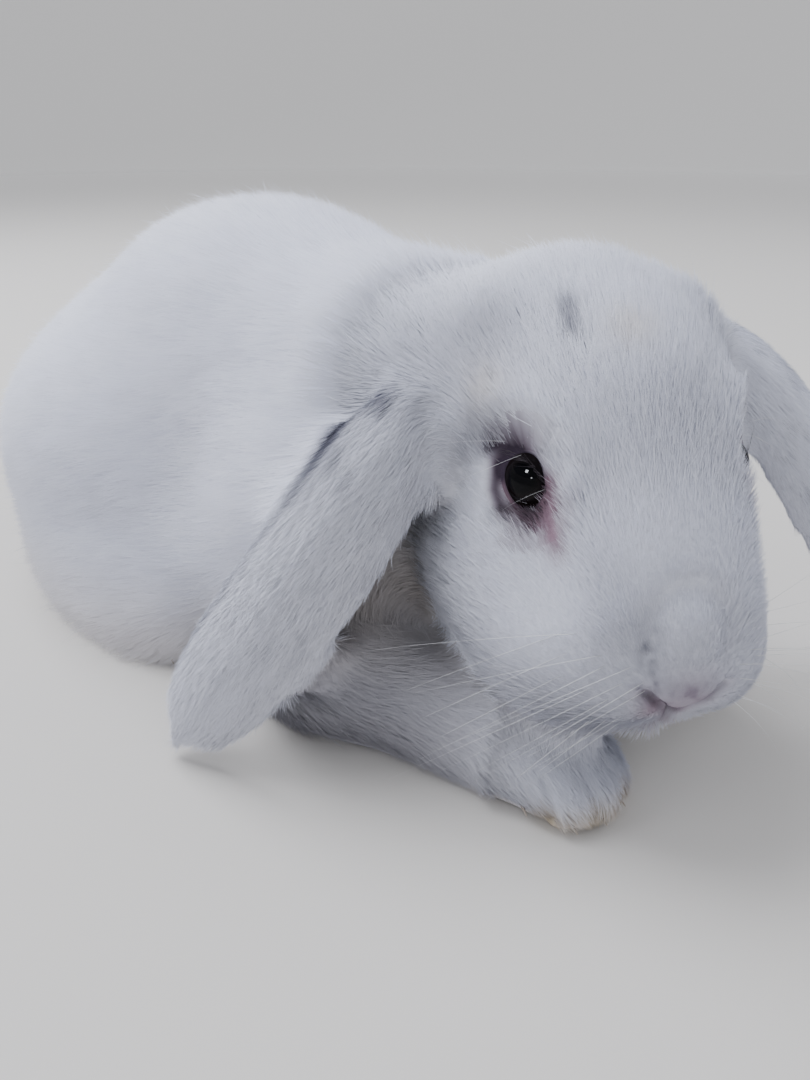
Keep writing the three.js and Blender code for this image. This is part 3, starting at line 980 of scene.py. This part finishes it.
def softenNormals(mesh, shapes, faces, rootNormals):
    # faces turned outwards shade like the skin below them, so that the coat looks soft
    a, b, c = (shapes[:, faces[:, k]] for k in range(3))
    flat = unit(np.cross(b - a, c - a))
    facing = (flat * rootNormals[:, None, :]).sum(2, keepdims=True)
    soft = tuftValues["softNormals"] * smoothStep(-0.1, 0.4, facing)
    shading = unit(mix(flat, rootNormals[:, None, :], soft))
    mesh.normals_split_custom_set(np.repeat(shading.reshape(-1, 3), 3, axis=0).astype(np.float32))


def hairMesh(name, shapes, faces, patch, roots, tone, along):
    # one mesh of many small shapes that share their faces, each coloured as the skin where it shows
    count, size = shapes.shape[:2]
    index = (faces.ravel()[None, :] + size * np.arange(count)[:, None]).astype(np.int32)
    mesh = bpy.data.meshes.new(name)
    mesh.vertices.add(count * size)
    mesh.loops.add(index.size)
    mesh.polygons.add(index.size // 3)
    mesh.vertices.foreach_set("co", shapes.astype(np.float32).ravel())
    mesh.loops.foreach_set("vertex_index", index.ravel())
    mesh.polygons.foreach_set("loop_start", np.arange(0, index.size, 3, dtype=np.int32))
    mesh.polygons.foreach_set("use_smooth", np.ones(index.size // 3, bool))
    mesh.update(calc_edges=True)
    storeMap(mesh, (roots["uv"][:, None, :] + patch * tuftValues["patch"])[:, faces.ravel()])
    storeNumbers(mesh, "markings", np.repeat(roots["marks"][:, :3], size, axis=0), "FLOAT_VECTOR")
    storeNumbers(mesh, "darkRim", np.repeat(roots["marks"][:, 3], size))
    storeNumbers(mesh, "strand", np.repeat(tone, size))
    storeNumbers(mesh, "alongTuft", np.tile(along, count))
    softenNormals(mesh, shapes, faces, roots["normal"])
    return linkedObject(name, mesh)


corners, cornerUv = skinTriangles()
place = co[corners]
area = np.cross(place[:, 1] - place[:, 0], place[:, 2] - place[:, 0])
area = np.linalg.norm(area, axis=1) / 2 / mm**2
middleGrowth = growth[corners].mean(1)
facingDown = smoothStep(-0.75, -0.97, normals[corners].mean(1)[:, 2])
hidden = facingDown * smoothStep(20, 12, place[:, :, 2].mean(1) / mm)
bare = smoothStep(1.1, 0.99, eyeShare[corners].mean(1))
density = middleGrowth[:, coatDensity] * (1 - 0.92 * hidden) * (1 - bare)
density *= 1 + 0.5 * bump(noseAway[corners].mean(1), 14)
weights = density * area
chosen, share = scatter(weights, tuftValues["triangles"] // 4)
roots = rootsOn(corners, cornerUv, chosen, share)
spikes, lock = makeTufts(roots)
print("tufts:", len(spikes), "asked for", int(weights.sum()))

lockTone = chance.random(len(spikes))
tone = 0.5 * lockTone[lock] + 0.5 * chance.random(len(spikes))
streaky = [tuftValues["streaky"].get(kind, tuftValues["streakyElsewhere"]) for kind in partOf]
streaky = np.array(streaky)[roots["owner"]]
roots["marks"][:, 0] += streaky * smoothStep(0.62, 1.0, tone)
sideOf = np.where(roots["co"][:, 1] > 0, "left", "right")
headSide = np.where(toHead(roots["co"])[:, 1] > 0, "left", "right")
part = np.array(partOf)[roots["owner"]]
pieceOf = np.char.add(np.char.add(part, "_"), np.where(part == "head", headSide, sideOf))
joinedPieces = {
    "forepaw": "paws",
    "hind_foot": "paws",
    "foreleg": "forelegs",
    "neck": "neck",
    "tail": "tail",
}
for kind, name in joinedPieces.items():
    pieceOf = np.where(part == kind, name, pieceOf)
coatPieces = []
most = tuftValues["perPiece"]
for name in sorted(set(pieceOf.tolist())):
    mine = np.nonzero(pieceOf == name)[0]
    for start in range(0, len(mine), most):
        some = mine[start : start + most]
        title = f"coat_{name}" if len(mine) <= most else f"coat_{name}_{start // most + 1}"
        its = {key: value[some] for key, value in roots.items()}
        made = hairMesh(title, spikes[some], spikeFaces, spikeMap, its, tone[some], (0, 0, 0, 1))
        coatPieces.append(made)
print("coat pieces:", ", ".join(f"{p.name} {len(p.data.polygons)}" for p in coatPieces))


# finer, longer hairs that stand a little out of the coat, each a thin curved blade
guardValues = {
    "count": 9000,
    "without": ("ear", "forepaw", "hind_foot"),
    "shortest": 4,  # none grow where the coat is shorter than this, in mm
    "length": 1.35,  # of the coat's length
    "width": 0.16,
    "turn": 0.25,
    "stand": 1.25,  # of the coat's lift
    "curl": 0.35,
    "taper": 0.8,
}
bladeMap = np.array([(-1, -1), (1, -1), (0, 0), (-1, 0), (1, 0), (0, 0.5), (0, 1)])
bladeFaces = [(0, 1, 2), (3, 6, 4), (4, 6, 5), (5, 6, 3)]
for k, n in ((0, 1), (1, 2), (2, 0)):
    bladeFaces += [(k, 3 + k, n), (n, 3 + k, 3 + n)]


def guardHairs():
    grows = ~isPart(owner[corners[:, 0]], *guardValues["without"]) * (1 - hidden) * (1 - bare)
    grows = grows * (middleGrowth[:, coatLength] > guardValues["shortest"])
    chosen, share = scatter(area * grows, guardValues["count"])
    roots = rootsOn(corners, cornerUv, chosen, share)
    count = len(chosen)
    coatGrowth = roots["growth"]
    length = coatGrowth[:, coatLength] * guardValues["length"] * chance.uniform(0.6, 1.1, count) * mm
    lift = np.arcsin(np.clip(coatGrowth[:, coatDepth] / coatGrowth[:, coatLength], 0, 0.7))
    lift = (lift * guardValues["stand"] * chance.uniform(0.7, 1.2, count))[:, None]
    lie, normal = roots["lie"], roots["normal"]
    turn = chance.normal(0, guardValues["turn"], count)[:, None]
    lie = lie * np.cos(turn) + np.cross(lie, normal) * np.sin(turn)
    side = unit(np.cross(lie, normal))
    half = guardValues["width"] / 2 * mm

    def ringAt(middle, size):
        return [middle + side * half * size, middle - side * half * size, middle - normal * half * size]

    start = roots["co"]
    middle = start + (lie * np.cos(lift) + normal * np.sin(lift)) * length[:, None] * 0.5
    droop = lift * (1 - guardValues["curl"])
    tip = middle + (lie * np.cos(droop) + normal * np.sin(droop)) * length[:, None] * 0.5
    blades = np.stack([*ringAt(start, 1), *ringAt(middle, guardValues["taper"]), tip], axis=1)
    blades[..., 2] = np.maximum(blades[..., 2], tuftValues["floorGap"] * mm)
    tone = chance.uniform(0.6, 1, count)
    along = (0, 0, 0, 0.6, 0.6, 0.6, 1)
    return hairMesh("coat_guard_hairs", blades, np.array(bladeFaces), bladeMap, roots, tone, along)


coatPieces.append(guardHairs())


# materials
def nodeKit(tree):
    def add(kind, **settings):
        node = tree.nodes.new(kind)
        for key, value in settings.items():
            setattr(node, key, value)
        return node

    def join(source, target):
        tree.links.new(source, target)

    return add, join


def grain(add, join, scale, detail=2):
    # noise laid over the rabbit's own measures
    place = add("ShaderNodeNewGeometry")
    texture = add("ShaderNodeTexNoise")
    texture.inputs["Scale"].default_value = scale
    texture.inputs["Detail"].default_value = detail
    join(place.outputs["Position"], texture.inputs["Vector"])
    return texture.outputs["Fac"]


coatColours = {
    "white": (0.87, 0.885, 0.985),
    # the colour at the tufts' roots is painted shade deep in the coat
    "underWhite": (0.59, 0.60, 0.70),
    "grey": (0.14, 0.14, 0.19),
    # cream serves the coat's own cream tint and painted warm shade alike
    "cream": (0.80, 0.66, 0.46),
    "pink": (0.31, 0.20, 0.26),
    "dark": (0.035, 0.024, 0.04),
}
furValues = {
    "white fur": {"tone": (0.15, 0.60), "strand": 0.48, "mottle": 0.14, "rough": 0.7, "sheen": 0.25},
    "soft body fur": {"tone": (0.1, 0.56), "strand": 0.62, "mottle": 0.12, "rough": 0.75, "sheen": 0.2},
    "ear fur": {"tone": (0.3, 0.8), "strand": 0.4, "mottle": 0.14, "rough": 0.7, "sheen": 0.25},
}
bareValues = {"shade": 0.5, "rough": 0.8, "sheen": 0.1, "pores": 1400, "relief": 0.35, "deep": 0.3 * mm}
cloudValues = {"scale": 45, "detail": 3}


def coatToneGroup():
    # the rabbit's markings and painted shade, from the numbers laid on skin and coat
    group = bpy.data.node_groups.new("rabbit markings", "ShaderNodeTree")
    for name, kind, default in (
        ("White", "NodeSocketColor", (1, 1, 1, 1)),
        ("Shade", "NodeSocketFloat", 0.5),
        ("Mottle", "NodeSocketFloat", 0.06),
    ):
        group.interface.new_socket(name, in_out="INPUT", socket_type=kind).default_value = default
    group.interface.new_socket("Colour", in_out="OUTPUT", socket_type="NodeSocketColor")
    add, join = nodeKit(group)
    inside, outside = add("NodeGroupInput"), add("NodeGroupOutput")
    marks = add("ShaderNodeAttribute", attribute_name="markings")
    rim = add("ShaderNodeAttribute", attribute_name="darkRim")
    parts = add("ShaderNodeSeparateXYZ")
    join(marks.outputs["Vector"], parts.inputs[0])
    tone = add("ShaderNodeMath", operation="MULTIPLY_ADD")
    join(grain(add, join, *cloudValues.values()), tone.inputs[0])
    join(inside.outputs["Mottle"], tone.inputs[1])
    join(inside.outputs["Shade"], tone.inputs[2])
    colour = add("ShaderNodeMix", data_type="RGBA")
    colour.inputs["A"].default_value = (*coatColours["underWhite"], 1)
    join(tone.outputs[0], colour.inputs["Factor"])
    join(inside.outputs["White"], colour.inputs["B"])
    current = colour.outputs["Result"]
    for name, amount in (
        ("cream", parts.outputs["Y"]),
        ("grey", parts.outputs["X"]),
        ("pink", parts.outputs["Z"]),
        ("dark", rim.outputs["Fac"]),
    ):
        layer = add("ShaderNodeMix", data_type="RGBA")
        layer.inputs["B"].default_value = (*coatColours[name], 1)
        join(amount, layer.inputs["Factor"])
        join(current, layer.inputs["A"])
        current = layer.outputs["Result"]
    join(current, outside.inputs["Colour"])
    return group


marksAndShadeGroup = coatToneGroup()


def newMaterial(name, **values):
    material = bpy.data.materials.new(name)
    material.use_nodes = True
    shader = material.node_tree.nodes["Principled BSDF"]
    for key, value in values.items():
        shader.inputs[key].default_value = value
    return material, shader


def coatMaterial(name):
    # the tone runs from a darker root, painted shade deep in the coat, to a paler tip, and tufts differ
    # from one another
    look = furValues[name]
    surface = {"Roughness": look["rough"], "Specular IOR Level": look["sheen"]}
    material, shader = newMaterial(name, **surface)
    add, join = nodeKit(material.node_tree)
    along = add("ShaderNodeAttribute", attribute_name="alongTuft")
    strand = add("ShaderNodeAttribute", attribute_name="strand")
    light = add("ShaderNodeMapRange")
    light.inputs["To Min"].default_value, light.inputs["To Max"].default_value = look["tone"]
    join(along.outputs["Fac"], light.inputs["Value"])
    varied = add("ShaderNodeMath", operation="MULTIPLY_ADD")
    join(strand.outputs["Fac"], varied.inputs[0])
    varied.inputs[1].default_value = look["strand"]
    join(light.outputs["Result"], varied.inputs[2])
    tone = add("ShaderNodeGroup", node_tree=marksAndShadeGroup)
    tone.inputs["White"].default_value = (*coatColours["white"], 1)
    tone.inputs["Mottle"].default_value = look["mottle"]
    join(varied.outputs[0], tone.inputs["Shade"])
    join(tone.outputs["Colour"], shader.inputs["Base Color"])
    return material


def skinMaterial():
    look = {"Roughness": bareValues["rough"], "Specular IOR Level": bareValues["sheen"]}
    material, shader = newMaterial("skin under the coat", **look)
    add, join = nodeKit(material.node_tree)
    tone = add("ShaderNodeGroup", node_tree=marksAndShadeGroup)
    tone.inputs["White"].default_value = (*coatColours["white"], 1)
    tone.inputs["Shade"].default_value = bareValues["shade"]
    join(tone.outputs["Colour"], shader.inputs["Base Color"])
    relief = add("ShaderNodeBump")
    relief.inputs["Strength"].default_value = bareValues["relief"]
    relief.inputs["Distance"].default_value = bareValues["deep"]
    join(grain(add, join, bareValues["pores"], 3), relief.inputs["Height"])
    join(relief.outputs["Normal"], shader.inputs["Normal"])
    return material


skin.data.materials.clear()
skin.data.materials.append(skinMaterial())
furOf = {
    "coat_trunk": "soft body fur",
    "coat_haunch": "soft body fur",
    "coat_tail": "soft body fur",
    "coat_ear": "ear fur",
    "coat": "white fur",  # every other piece of the coat
}
shadowedCoats = ("coat_head", "coat_ear_right", "coat_paws")
furs = {name: coatMaterial(name) for name in furValues}
for piece in coatPieces:
    kind = next(kind for start, kind in furOf.items() if piece.name.startswith(start))
    piece.data.materials.append(furs[kind])
    # elsewhere the skin below casts the shadows, which are softer
    piece.visible_shadow = piece.name.startswith(shadowedCoats)
    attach(piece, "root")
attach(skin, "root")
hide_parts(*fleshNodes)

# eyes
eyeValues = {
    "segments": 64,
    "rings": 48,
    "cornea": 0.035,  # how far it bulges, as a share of the eyeball
    "corneaSpread": 34,
    "fibres": (900, 4),
    "shaken": 0.08,
    "ringColours": [  # where each starts, from the pupil's middle to the side of the eyeball
        (0.0, (0.001, 0.001, 0.002)),
        (0.30, (0.001, 0.001, 0.002)),
        (0.40, (0.005, 0.003, 0.004)),
        (0.66, (0.007, 0.005, 0.005)),
        (0.74, (0.002, 0.002, 0.003)),
        (0.95, (0.02, 0.012, 0.014)),
    ],
    "wet": {
        "Roughness": 0.5,
        "Specular IOR Level": 0.0,
        "Coat Weight": 0.4,
        "Coat Roughness": 0.02,
        "Coat IOR": 1.36,
    },
}


def eyePiece(side):
    axis = headTurn @ lidFrame(side)[0]
    mesh = bpy.data.meshes.new(f"eyeball_{side}")
    work = bmesh.new()
    segments, rings = eyeValues["segments"], eyeValues["rings"]
    bmesh.ops.create_uvsphere(work, u_segments=segments, v_segments=rings, radius=eyeRadius)
    work.to_mesh(mesh)
    work.free()
    points = coordsOf(mesh)
    turn = np.degrees(np.arccos(np.clip(unit(points)[:, 2], -1, 1)))
    points *= (1 + eyeValues["cornea"] * bump(turn, eyeValues["corneaSpread"]))[:, None]
    toAxis = np.array(Vector((0, 0, 1)).rotation_difference(Vector(axis)).to_matrix())
    setCoords(mesh, points @ toAxis.T + eyeCentre[side])
    mesh.polygons.foreach_set("use_smooth", np.ones(len(mesh.polygons), bool))
    storeNumbers(mesh, "fromPupil", turn / 90)
    made = linkedObject(f"eyeball_{side}", mesh)
    made.data.materials.append(eyeMaterial)
    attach(made, "root")
    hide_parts(f"eye_{side}")


def makeEyeMaterial():
    material, shader = newMaterial("wet dark eye", **eyeValues["wet"])
    add, join = nodeKit(material.node_tree)
    ring = add("ShaderNodeAttribute", attribute_name="fromPupil")
    shaken = add("ShaderNodeMath", operation="MULTIPLY_ADD")
    join(grain(add, join, *eyeValues["fibres"]), shaken.inputs[0])
    shaken.inputs[1].default_value = eyeValues["shaken"]
    join(ring.outputs["Fac"], shaken.inputs[2])
    ramp = add("ShaderNodeValToRGB")
    stops = eyeValues["ringColours"]
    while len(ramp.color_ramp.elements) < len(stops):
        ramp.color_ramp.elements.new(0.5)
    for element, (place, colour) in zip(ramp.color_ramp.elements, stops):
        element.position = place
        element.color = (*colour, 1)
    join(shaken.outputs[0], ramp.inputs["Fac"])
    join(ramp.outputs["Color"], shader.inputs["Base Color"])
    return material


eyeMaterial = makeEyeMaterial()
for side in ("left", "right"):
    eyePiece(side)
print("eyes made")

# whiskers, brow hairs, lashes and claws: tapered curved rods
whiskerValues = {
    "rows": 4,
    "perRow": 4,
    "length": (32, 56),
    "width": 0.13,
    "droop": 0.3,
    "back": -0.25,
    "stray": (0.6, 0.08),  # of the roots in mm, and of the headings
    "startsUp": {"left": 0.1, "right": -0.3},
}
browValues = {
    "hairs": [  # root and heading on the right side, and length
        ((5, -26, 13.5), (-0.26, -0.78, -0.57), 23),
        ((1, -28, 13), (-0.5, -0.8, -0.3), 19),
        ((12, -20.5, 9), (-0.1, -0.85, -0.5), 12),
    ],
    "width": 0.06,
}
lashValues = {
    "count": 10,
    "arc": (45, 125),  # from where to where round the opening, in degrees
    "out": (1.12, 1.3),  # how far out the roots are, as a share of the opening
    "heading": (-0.86, -0.4, 0.2),
    "length": (3, 7),
    "width": 0.06,
}
lidHairValues = {  # short dark hairs that lie back over the right eye's upper lid
    "count": {"right": 34, "left": 0},
    "arc": (20, 165),
    "out": (1.08, 1.55),
    "heading": (-0.55, -0.4, -0.2),
    "length": (3.5, 6.5),
    "width": 0.11,
}
headingStray = 0.12
clawValues = {
    "places": (-0.62, -0.21, 0.21, 0.62),  # across a paw, from one side to the other
    "length": 5.5,
    "width": 1.6,
    "height": 3.0,
    "bury": 0.55,  # how much of the length is inside the paw
}
hornValues = {  # darker and paler tone, and how fine the grain is
    "whisker": ((0.84, 0.84, 0.87), (0.96, 0.96, 0.97), 300),
    "lash": ((0.03, 0.022, 0.03), (0.05, 0.038, 0.05), 600),
    "claw horn": ((0.36, 0.28, 0.22), (0.50, 0.42, 0.36), 900),
}
hornSurfaces = {
    "whisker": {"Roughness": 0.35, "Specular IOR Level": 0.5},
    "lash": {"Roughness": 0.5, "Specular IOR Level": 0.3},
    "claw horn": {"Roughness": 0.35, "Coat Weight": 0.2},
}


def hornMaterial(name):
    # fine streaks between two tones, for whiskers, lashes and claws
    darker, paler, scale = hornValues[name]
    material, shader = newMaterial(name, **hornSurfaces[name])
    add, join = nodeKit(material.node_tree)
    colour = add("ShaderNodeMix", data_type="RGBA")
    colour.inputs["A"].default_value = (*darker, 1)
    colour.inputs["B"].default_value = (*paler, 1)
    join(grain(add, join, scale), colour.inputs["Factor"])
    join(colour.outputs["Result"], shader.inputs["Base Color"])
    return material


def taperedRods(name, rods, sides, steps, material):
    # each rod: start, heading, bend, length and width, all in metres
    points, faces = [], []
    for start, heading, bend, length, width in rods:
        base = len(points)
        cross = unit(np.cross(heading, upAxis + heading * 0.01))
        lift = np.cross(cross, heading)
        for k in range(steps + 1):
            t = k / steps
            middle = start + heading * length * t + bend * length * t * t
            radius = width / 2 * (1 - 0.88 * t)
            middle[2] = max(middle[2], 2 * radius)
            for s in range(sides):
                a = 2 * math.pi * s / sides
                points.append(middle + (cross * math.cos(a) + lift * math.sin(a)) * radius)
        for k in range(steps):
            for s in range(sides):
                n = (s + 1) % sides
                low, high = base + k * sides, base + (k + 1) * sides
                faces.append((low + s, low + n, high + n, high + s))
        faces.append(tuple(base + s for s in reversed(range(sides))))
        faces.append(tuple(base + steps * sides + s for s in range(sides)))
    mesh = bpy.data.meshes.new(name)
    mesh.from_pydata([tuple(p) for p in points], [], faces)
    mesh.polygons.foreach_set("use_smooth", np.ones(len(mesh.polygons), bool))
    mesh.update()
    made = linkedObject(name, mesh)
    made.data.materials.append(material)
    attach(made, "root")
    return made


def rootOnSkin(local):
    place, normal = headTree.find_nearest(Vector(fromHead(local)))[:2]
    return np.array(place), np.array(normal)


def rootByLid(side, way, out):
    # a place on the skin beside the eye's opening; way and out in radians
    axis, ahead, up = lidFrame(side)
    outward = axis * math.cos(out) + (ahead * math.cos(way) + up * math.sin(way)) * math.sin(out)
    return rootOnSkin(toHead(eyeCentre[side]) + outward * (eyeRadius / mm + 1))


def makeWhiskers(side):
    mirror = 1 if side == "left" else -1
    strayRoot, strayHeading = whiskerValues["stray"]
    rods = []
    for row in range(whiskerValues["rows"]):
        for k in range(whiskerValues["perRow"]):
            t = k / (whiskerValues["perRow"] - 1)
            local = np.array([50 - 13 * t, mirror * (10 + 6 * t), -9 - 3.2 * row - 1.5 * t])
            place, normal = rootOnSkin(local + chance.normal(0, strayRoot, 3))
            rise = whiskerValues["startsUp"][side] - 0.3 * row
            heading = headTurn @ np.array([0.1 - 0.35 * t, mirror * (1.0 - 0.15 * t), rise])
            heading = unit(unit(heading) + 0.15 * normal + chance.normal(0, strayHeading, 3))
            bend = headTurn @ np.array([whiskerValues["back"], -0.05 * mirror, 0.0])
            bend -= upAxis * whiskerValues["droop"]
            length = mix(*whiskerValues["length"], 0.2 + 0.8 * t) * chance.uniform(0.75, 1.1) * mm
            root = place - heading * 0.5 * mm
            rods.append((root, heading, bend, length, whiskerValues["width"] * mm))
    made = taperedRods(f"whiskers_{side}", rods, 4, 14, whiskerMaterial)


def makeBrowHairs(side):
    mirror = np.array([1, 1 if side == "right" else -1, 1])
    rods = []
    for root, heading, length in browValues["hairs"]:
        place, normal = rootOnSkin(np.array(root) * mirror)
        heading = unit(headTurn @ unit(np.array(heading) * mirror) + 0.25 * normal)
        bend = -0.2 * normal - 0.1 * upAxis
        rods.append((place, heading, bend, length * mm, browValues["width"] * mm))
    made = taperedRods(f"brow_hairs_{side}", rods, 4, 8, whiskerMaterial)


def strayFrom(heading, mirror):
    # a heading in the head's frame whose rise differs from hair to hair
    ahead, outward, rise = heading
    return np.array([ahead, outward, chance.normal(rise, headingStray)]) * mirror


def makeLashes(side):
    mirror = np.array([1, 1 if side == "right" else -1, 1])
    rods = []
    axis = headTurn @ lidFrame(side)[0]
    for k in range(lashValues["count"]):
        way = math.radians(mix(*lashValues["arc"], k / (lashValues["count"] - 1)) + chance.normal(0, 3))
        out = math.radians(lidValues["opening"] * chance.uniform(*lashValues["out"]))
        place, normal = rootByLid(side, way, out)
        heading = unit(headTurn @ unit(strayFrom(lashValues["heading"], mirror)) + 0.3 * axis)
        length = chance.uniform(*lashValues["length"]) * mm
        rods.append((place, heading, -0.3 * axis, length, lashValues["width"] * mm))
    for k in range(lidHairValues["count"][side]):
        way = math.radians(mix(*lidHairValues["arc"], chance.random()))
        out = math.radians(lidValues["opening"] * chance.uniform(*lidHairValues["out"]))
        place, normal = rootByLid(side, way, out)
        heading = headTurn @ strayFrom(lidHairValues["heading"], mirror)
        heading = unit(unit(heading - normal * (heading @ normal)) + 0.3 * normal)
        length = chance.uniform(*lidHairValues["length"]) * mm
        rods.append((place, heading, -0.3 * normal, length, lidHairValues["width"] * mm))
    made = taperedRods(f"lashes_{side}", rods, 4, 8, lashMaterial)


def makeClaws():
    rods = []
    length, width, height = (clawValues[key] * mm for key in ("length", "width", "height"))
    for name, aim in pawAims.items():
        forward = np.array([math.cos(math.radians(aim)), math.sin(math.radians(aim)), 0])
        aside = np.cross(upAxis, forward)
        points = co[owner == fleshNodes.index(name)]
        along, across = points @ forward, points @ aside
        front = across[along > along.max() - toeValues["length"]]
        for place in clawValues["places"]:
            sideways = mix(front.min(), front.max(), 0.5 + 0.5 * place)
            start = Vector(forward * (along.max() + 20 * mm) + aside * sideways + upAxis * height)
            hit = headTree.ray_cast(start, Vector(-forward), 60 * mm)[0]
            if hit is not None:
                heading = unit(forward + aside * 0.15 * place + upAxis * 0.1)
                root = np.array(hit) - heading * clawValues["bury"] * length
                rods.append((root, heading, -0.28 * upAxis, length, width))
    made = taperedRods("claws", rods, 8, 8, hornMaterial("claw horn"))


whiskerMaterial = hornMaterial("whisker")
lashMaterial = hornMaterial("lash")
for side in ("left", "right"):
    makeWhiskers(side)
    makeBrowHairs(side)
    makeLashes(side)
makeClaws()
print("whiskers, brow hairs and claws made")

# floor, light and camera
cameraValues = {"place": (0.2128, -0.1650, 0.150), "yaw": 138, "pitch": 27, "lens": 28.33}  # looks down
floorValues = {  # lengths in metres
    "flat": 2.2,
    "sweep": 1.4,
    "top": 0.2,
    "sides": 96,
    "turns": 15,
    "colour": (0.72, 0.69, 0.66, 1),
    "glowColour": (0.93, 0.95, 1, 1),
    "glow": {"From Min": 0.5, "From Max": 2.3, "To Max": 0.27},  # by how far out the floor is
}


def makeFloor():
    # flat under the rabbit, and swept up all round in one curve
    flat, sweep = floorValues["flat"], floorValues["sweep"]
    turns = [math.radians(90 * (k + 1) / floorValues["turns"]) for k in range(floorValues["turns"])]
    profile = [(flat, 0)] + [(flat + sweep * math.sin(a), sweep * (1 - math.cos(a))) for a in turns]
    profile.append((flat + sweep, sweep + floorValues["top"]))
    work = bmesh.new()
    ways = [2 * math.pi * k / floorValues["sides"] for k in range(floorValues["sides"])]
    rows = []
    for out, height in profile:
        rows.append([work.verts.new((out * math.cos(a), out * math.sin(a), height)) for a in ways])
    work.faces.new(rows[0])
    for low, high in zip(rows[:-1], rows[1:]):
        for k in range(len(low)):
            n = (k + 1) % len(low)
            work.faces.new((low[k], low[n], high[n], high[k])).smooth = True
    mesh = bpy.data.meshes.new("floor")
    work.to_mesh(mesh)
    work.free()
    made = linkedObject("floor", mesh)
    look = {"Base Color": floorValues["colour"], "Emission Color": floorValues["glowColour"]}
    material, shader = newMaterial("plain pale floor", **look, Roughness=0.85)
    add, join = nodeKit(material.node_tree)
    place = add("ShaderNodeNewGeometry")
    out = add("ShaderNodeVectorMath", operation="LENGTH")
    join(place.outputs["Position"], out.inputs[0])
    # the far part of the floor shines a little, so that it stays as pale as the near part
    glow = add("ShaderNodeMapRange")
    for key, value in floorValues["glow"].items():
        glow.inputs[key].default_value = value
    join(out.outputs["Value"], glow.inputs["Value"])
    join(glow.outputs["Result"], shader.inputs["Emission Strength"])
    material.cycles.emission_sampling = "NONE"
    made.data.materials.append(material)


makeFloor()

camera = linkedObject("camera", bpy.data.cameras.new("camera"))
yaw, tilt = (math.radians(cameraValues[k]) for k in ("yaw", "pitch"))
sight = Vector((math.cos(yaw) * math.cos(tilt), math.sin(yaw) * math.cos(tilt), -math.sin(tilt)))
camera.location = cameraValues["place"]
camera.rotation_mode = "QUATERNION"
camera.rotation_quaternion = sight.to_track_quat("-Z", "Y")
camera.data.sensor_fit = "VERTICAL"
camera.data.sensor_height = 36
camera.data.lens = cameraValues["lens"]
camera.data.clip_start = 0.01
bpy.context.scene.camera = camera

lightValues = {
    "key": {"from": (-0.60, -0.10, 0.98), "size": 0.8, "power": 18.5},
    "window": {"from": (-0.45, -0.80, 0.6), "size": 0.5, "power": 2.4},
    "fill": {"from": (0.9, -0.2, 0.6), "size": 0.8, "power": 0.8},
    "side": {"from": (0.55, 0.95, 0.75), "size": 0.7, "power": 5.0},
    "catchlight": {"from": (0.195, -0.822, 0.916), "size": 0.22, "power": 17.0},
    "catchlight_low": {"from": (0.758, -0.886, 0.54), "size": 0.1, "power": 2.0},
}
roomLight = {"lamps": (0.91, 0.94, 1.0), "world": (0.90, 0.94, 1.0, 1), "strength": 0.43, "bounces": 2}
middle = Vector(((cadBox[0][k] + cadBox[1][k]) / 2 for k in range(3)))
for name, value in lightValues.items():
    light = bpy.data.lights.new(name, "AREA")
    light.shape = "SQUARE"
    light.size = value["size"]
    light.energy = value["power"]
    light.color = roomLight["lamps"]
    lamp = linkedObject(name, light)
    lamp.location = middle + Vector(value["from"])
    lamp.rotation_mode = "QUATERNION"
    lamp.rotation_quaternion = (middle - lamp.location).to_track_quat("-Z", "Y")
    lamp.visible_glossy = name.startswith("catchlight")
    lamp.visible_diffuse = not lamp.visible_glossy
world = bpy.data.worlds.new("studio")
world.use_nodes = True
world.node_tree.nodes["Background"].inputs["Color"].default_value = roomLight["world"]
world.node_tree.nodes["Background"].inputs["Strength"].default_value = roomLight["strength"]
bpy.context.scene.world = world
bpy.context.scene.cycles.diffuse_bounces = roomLight["bounces"]  # enough for soft light in white fur
print("floor, light and camera set")
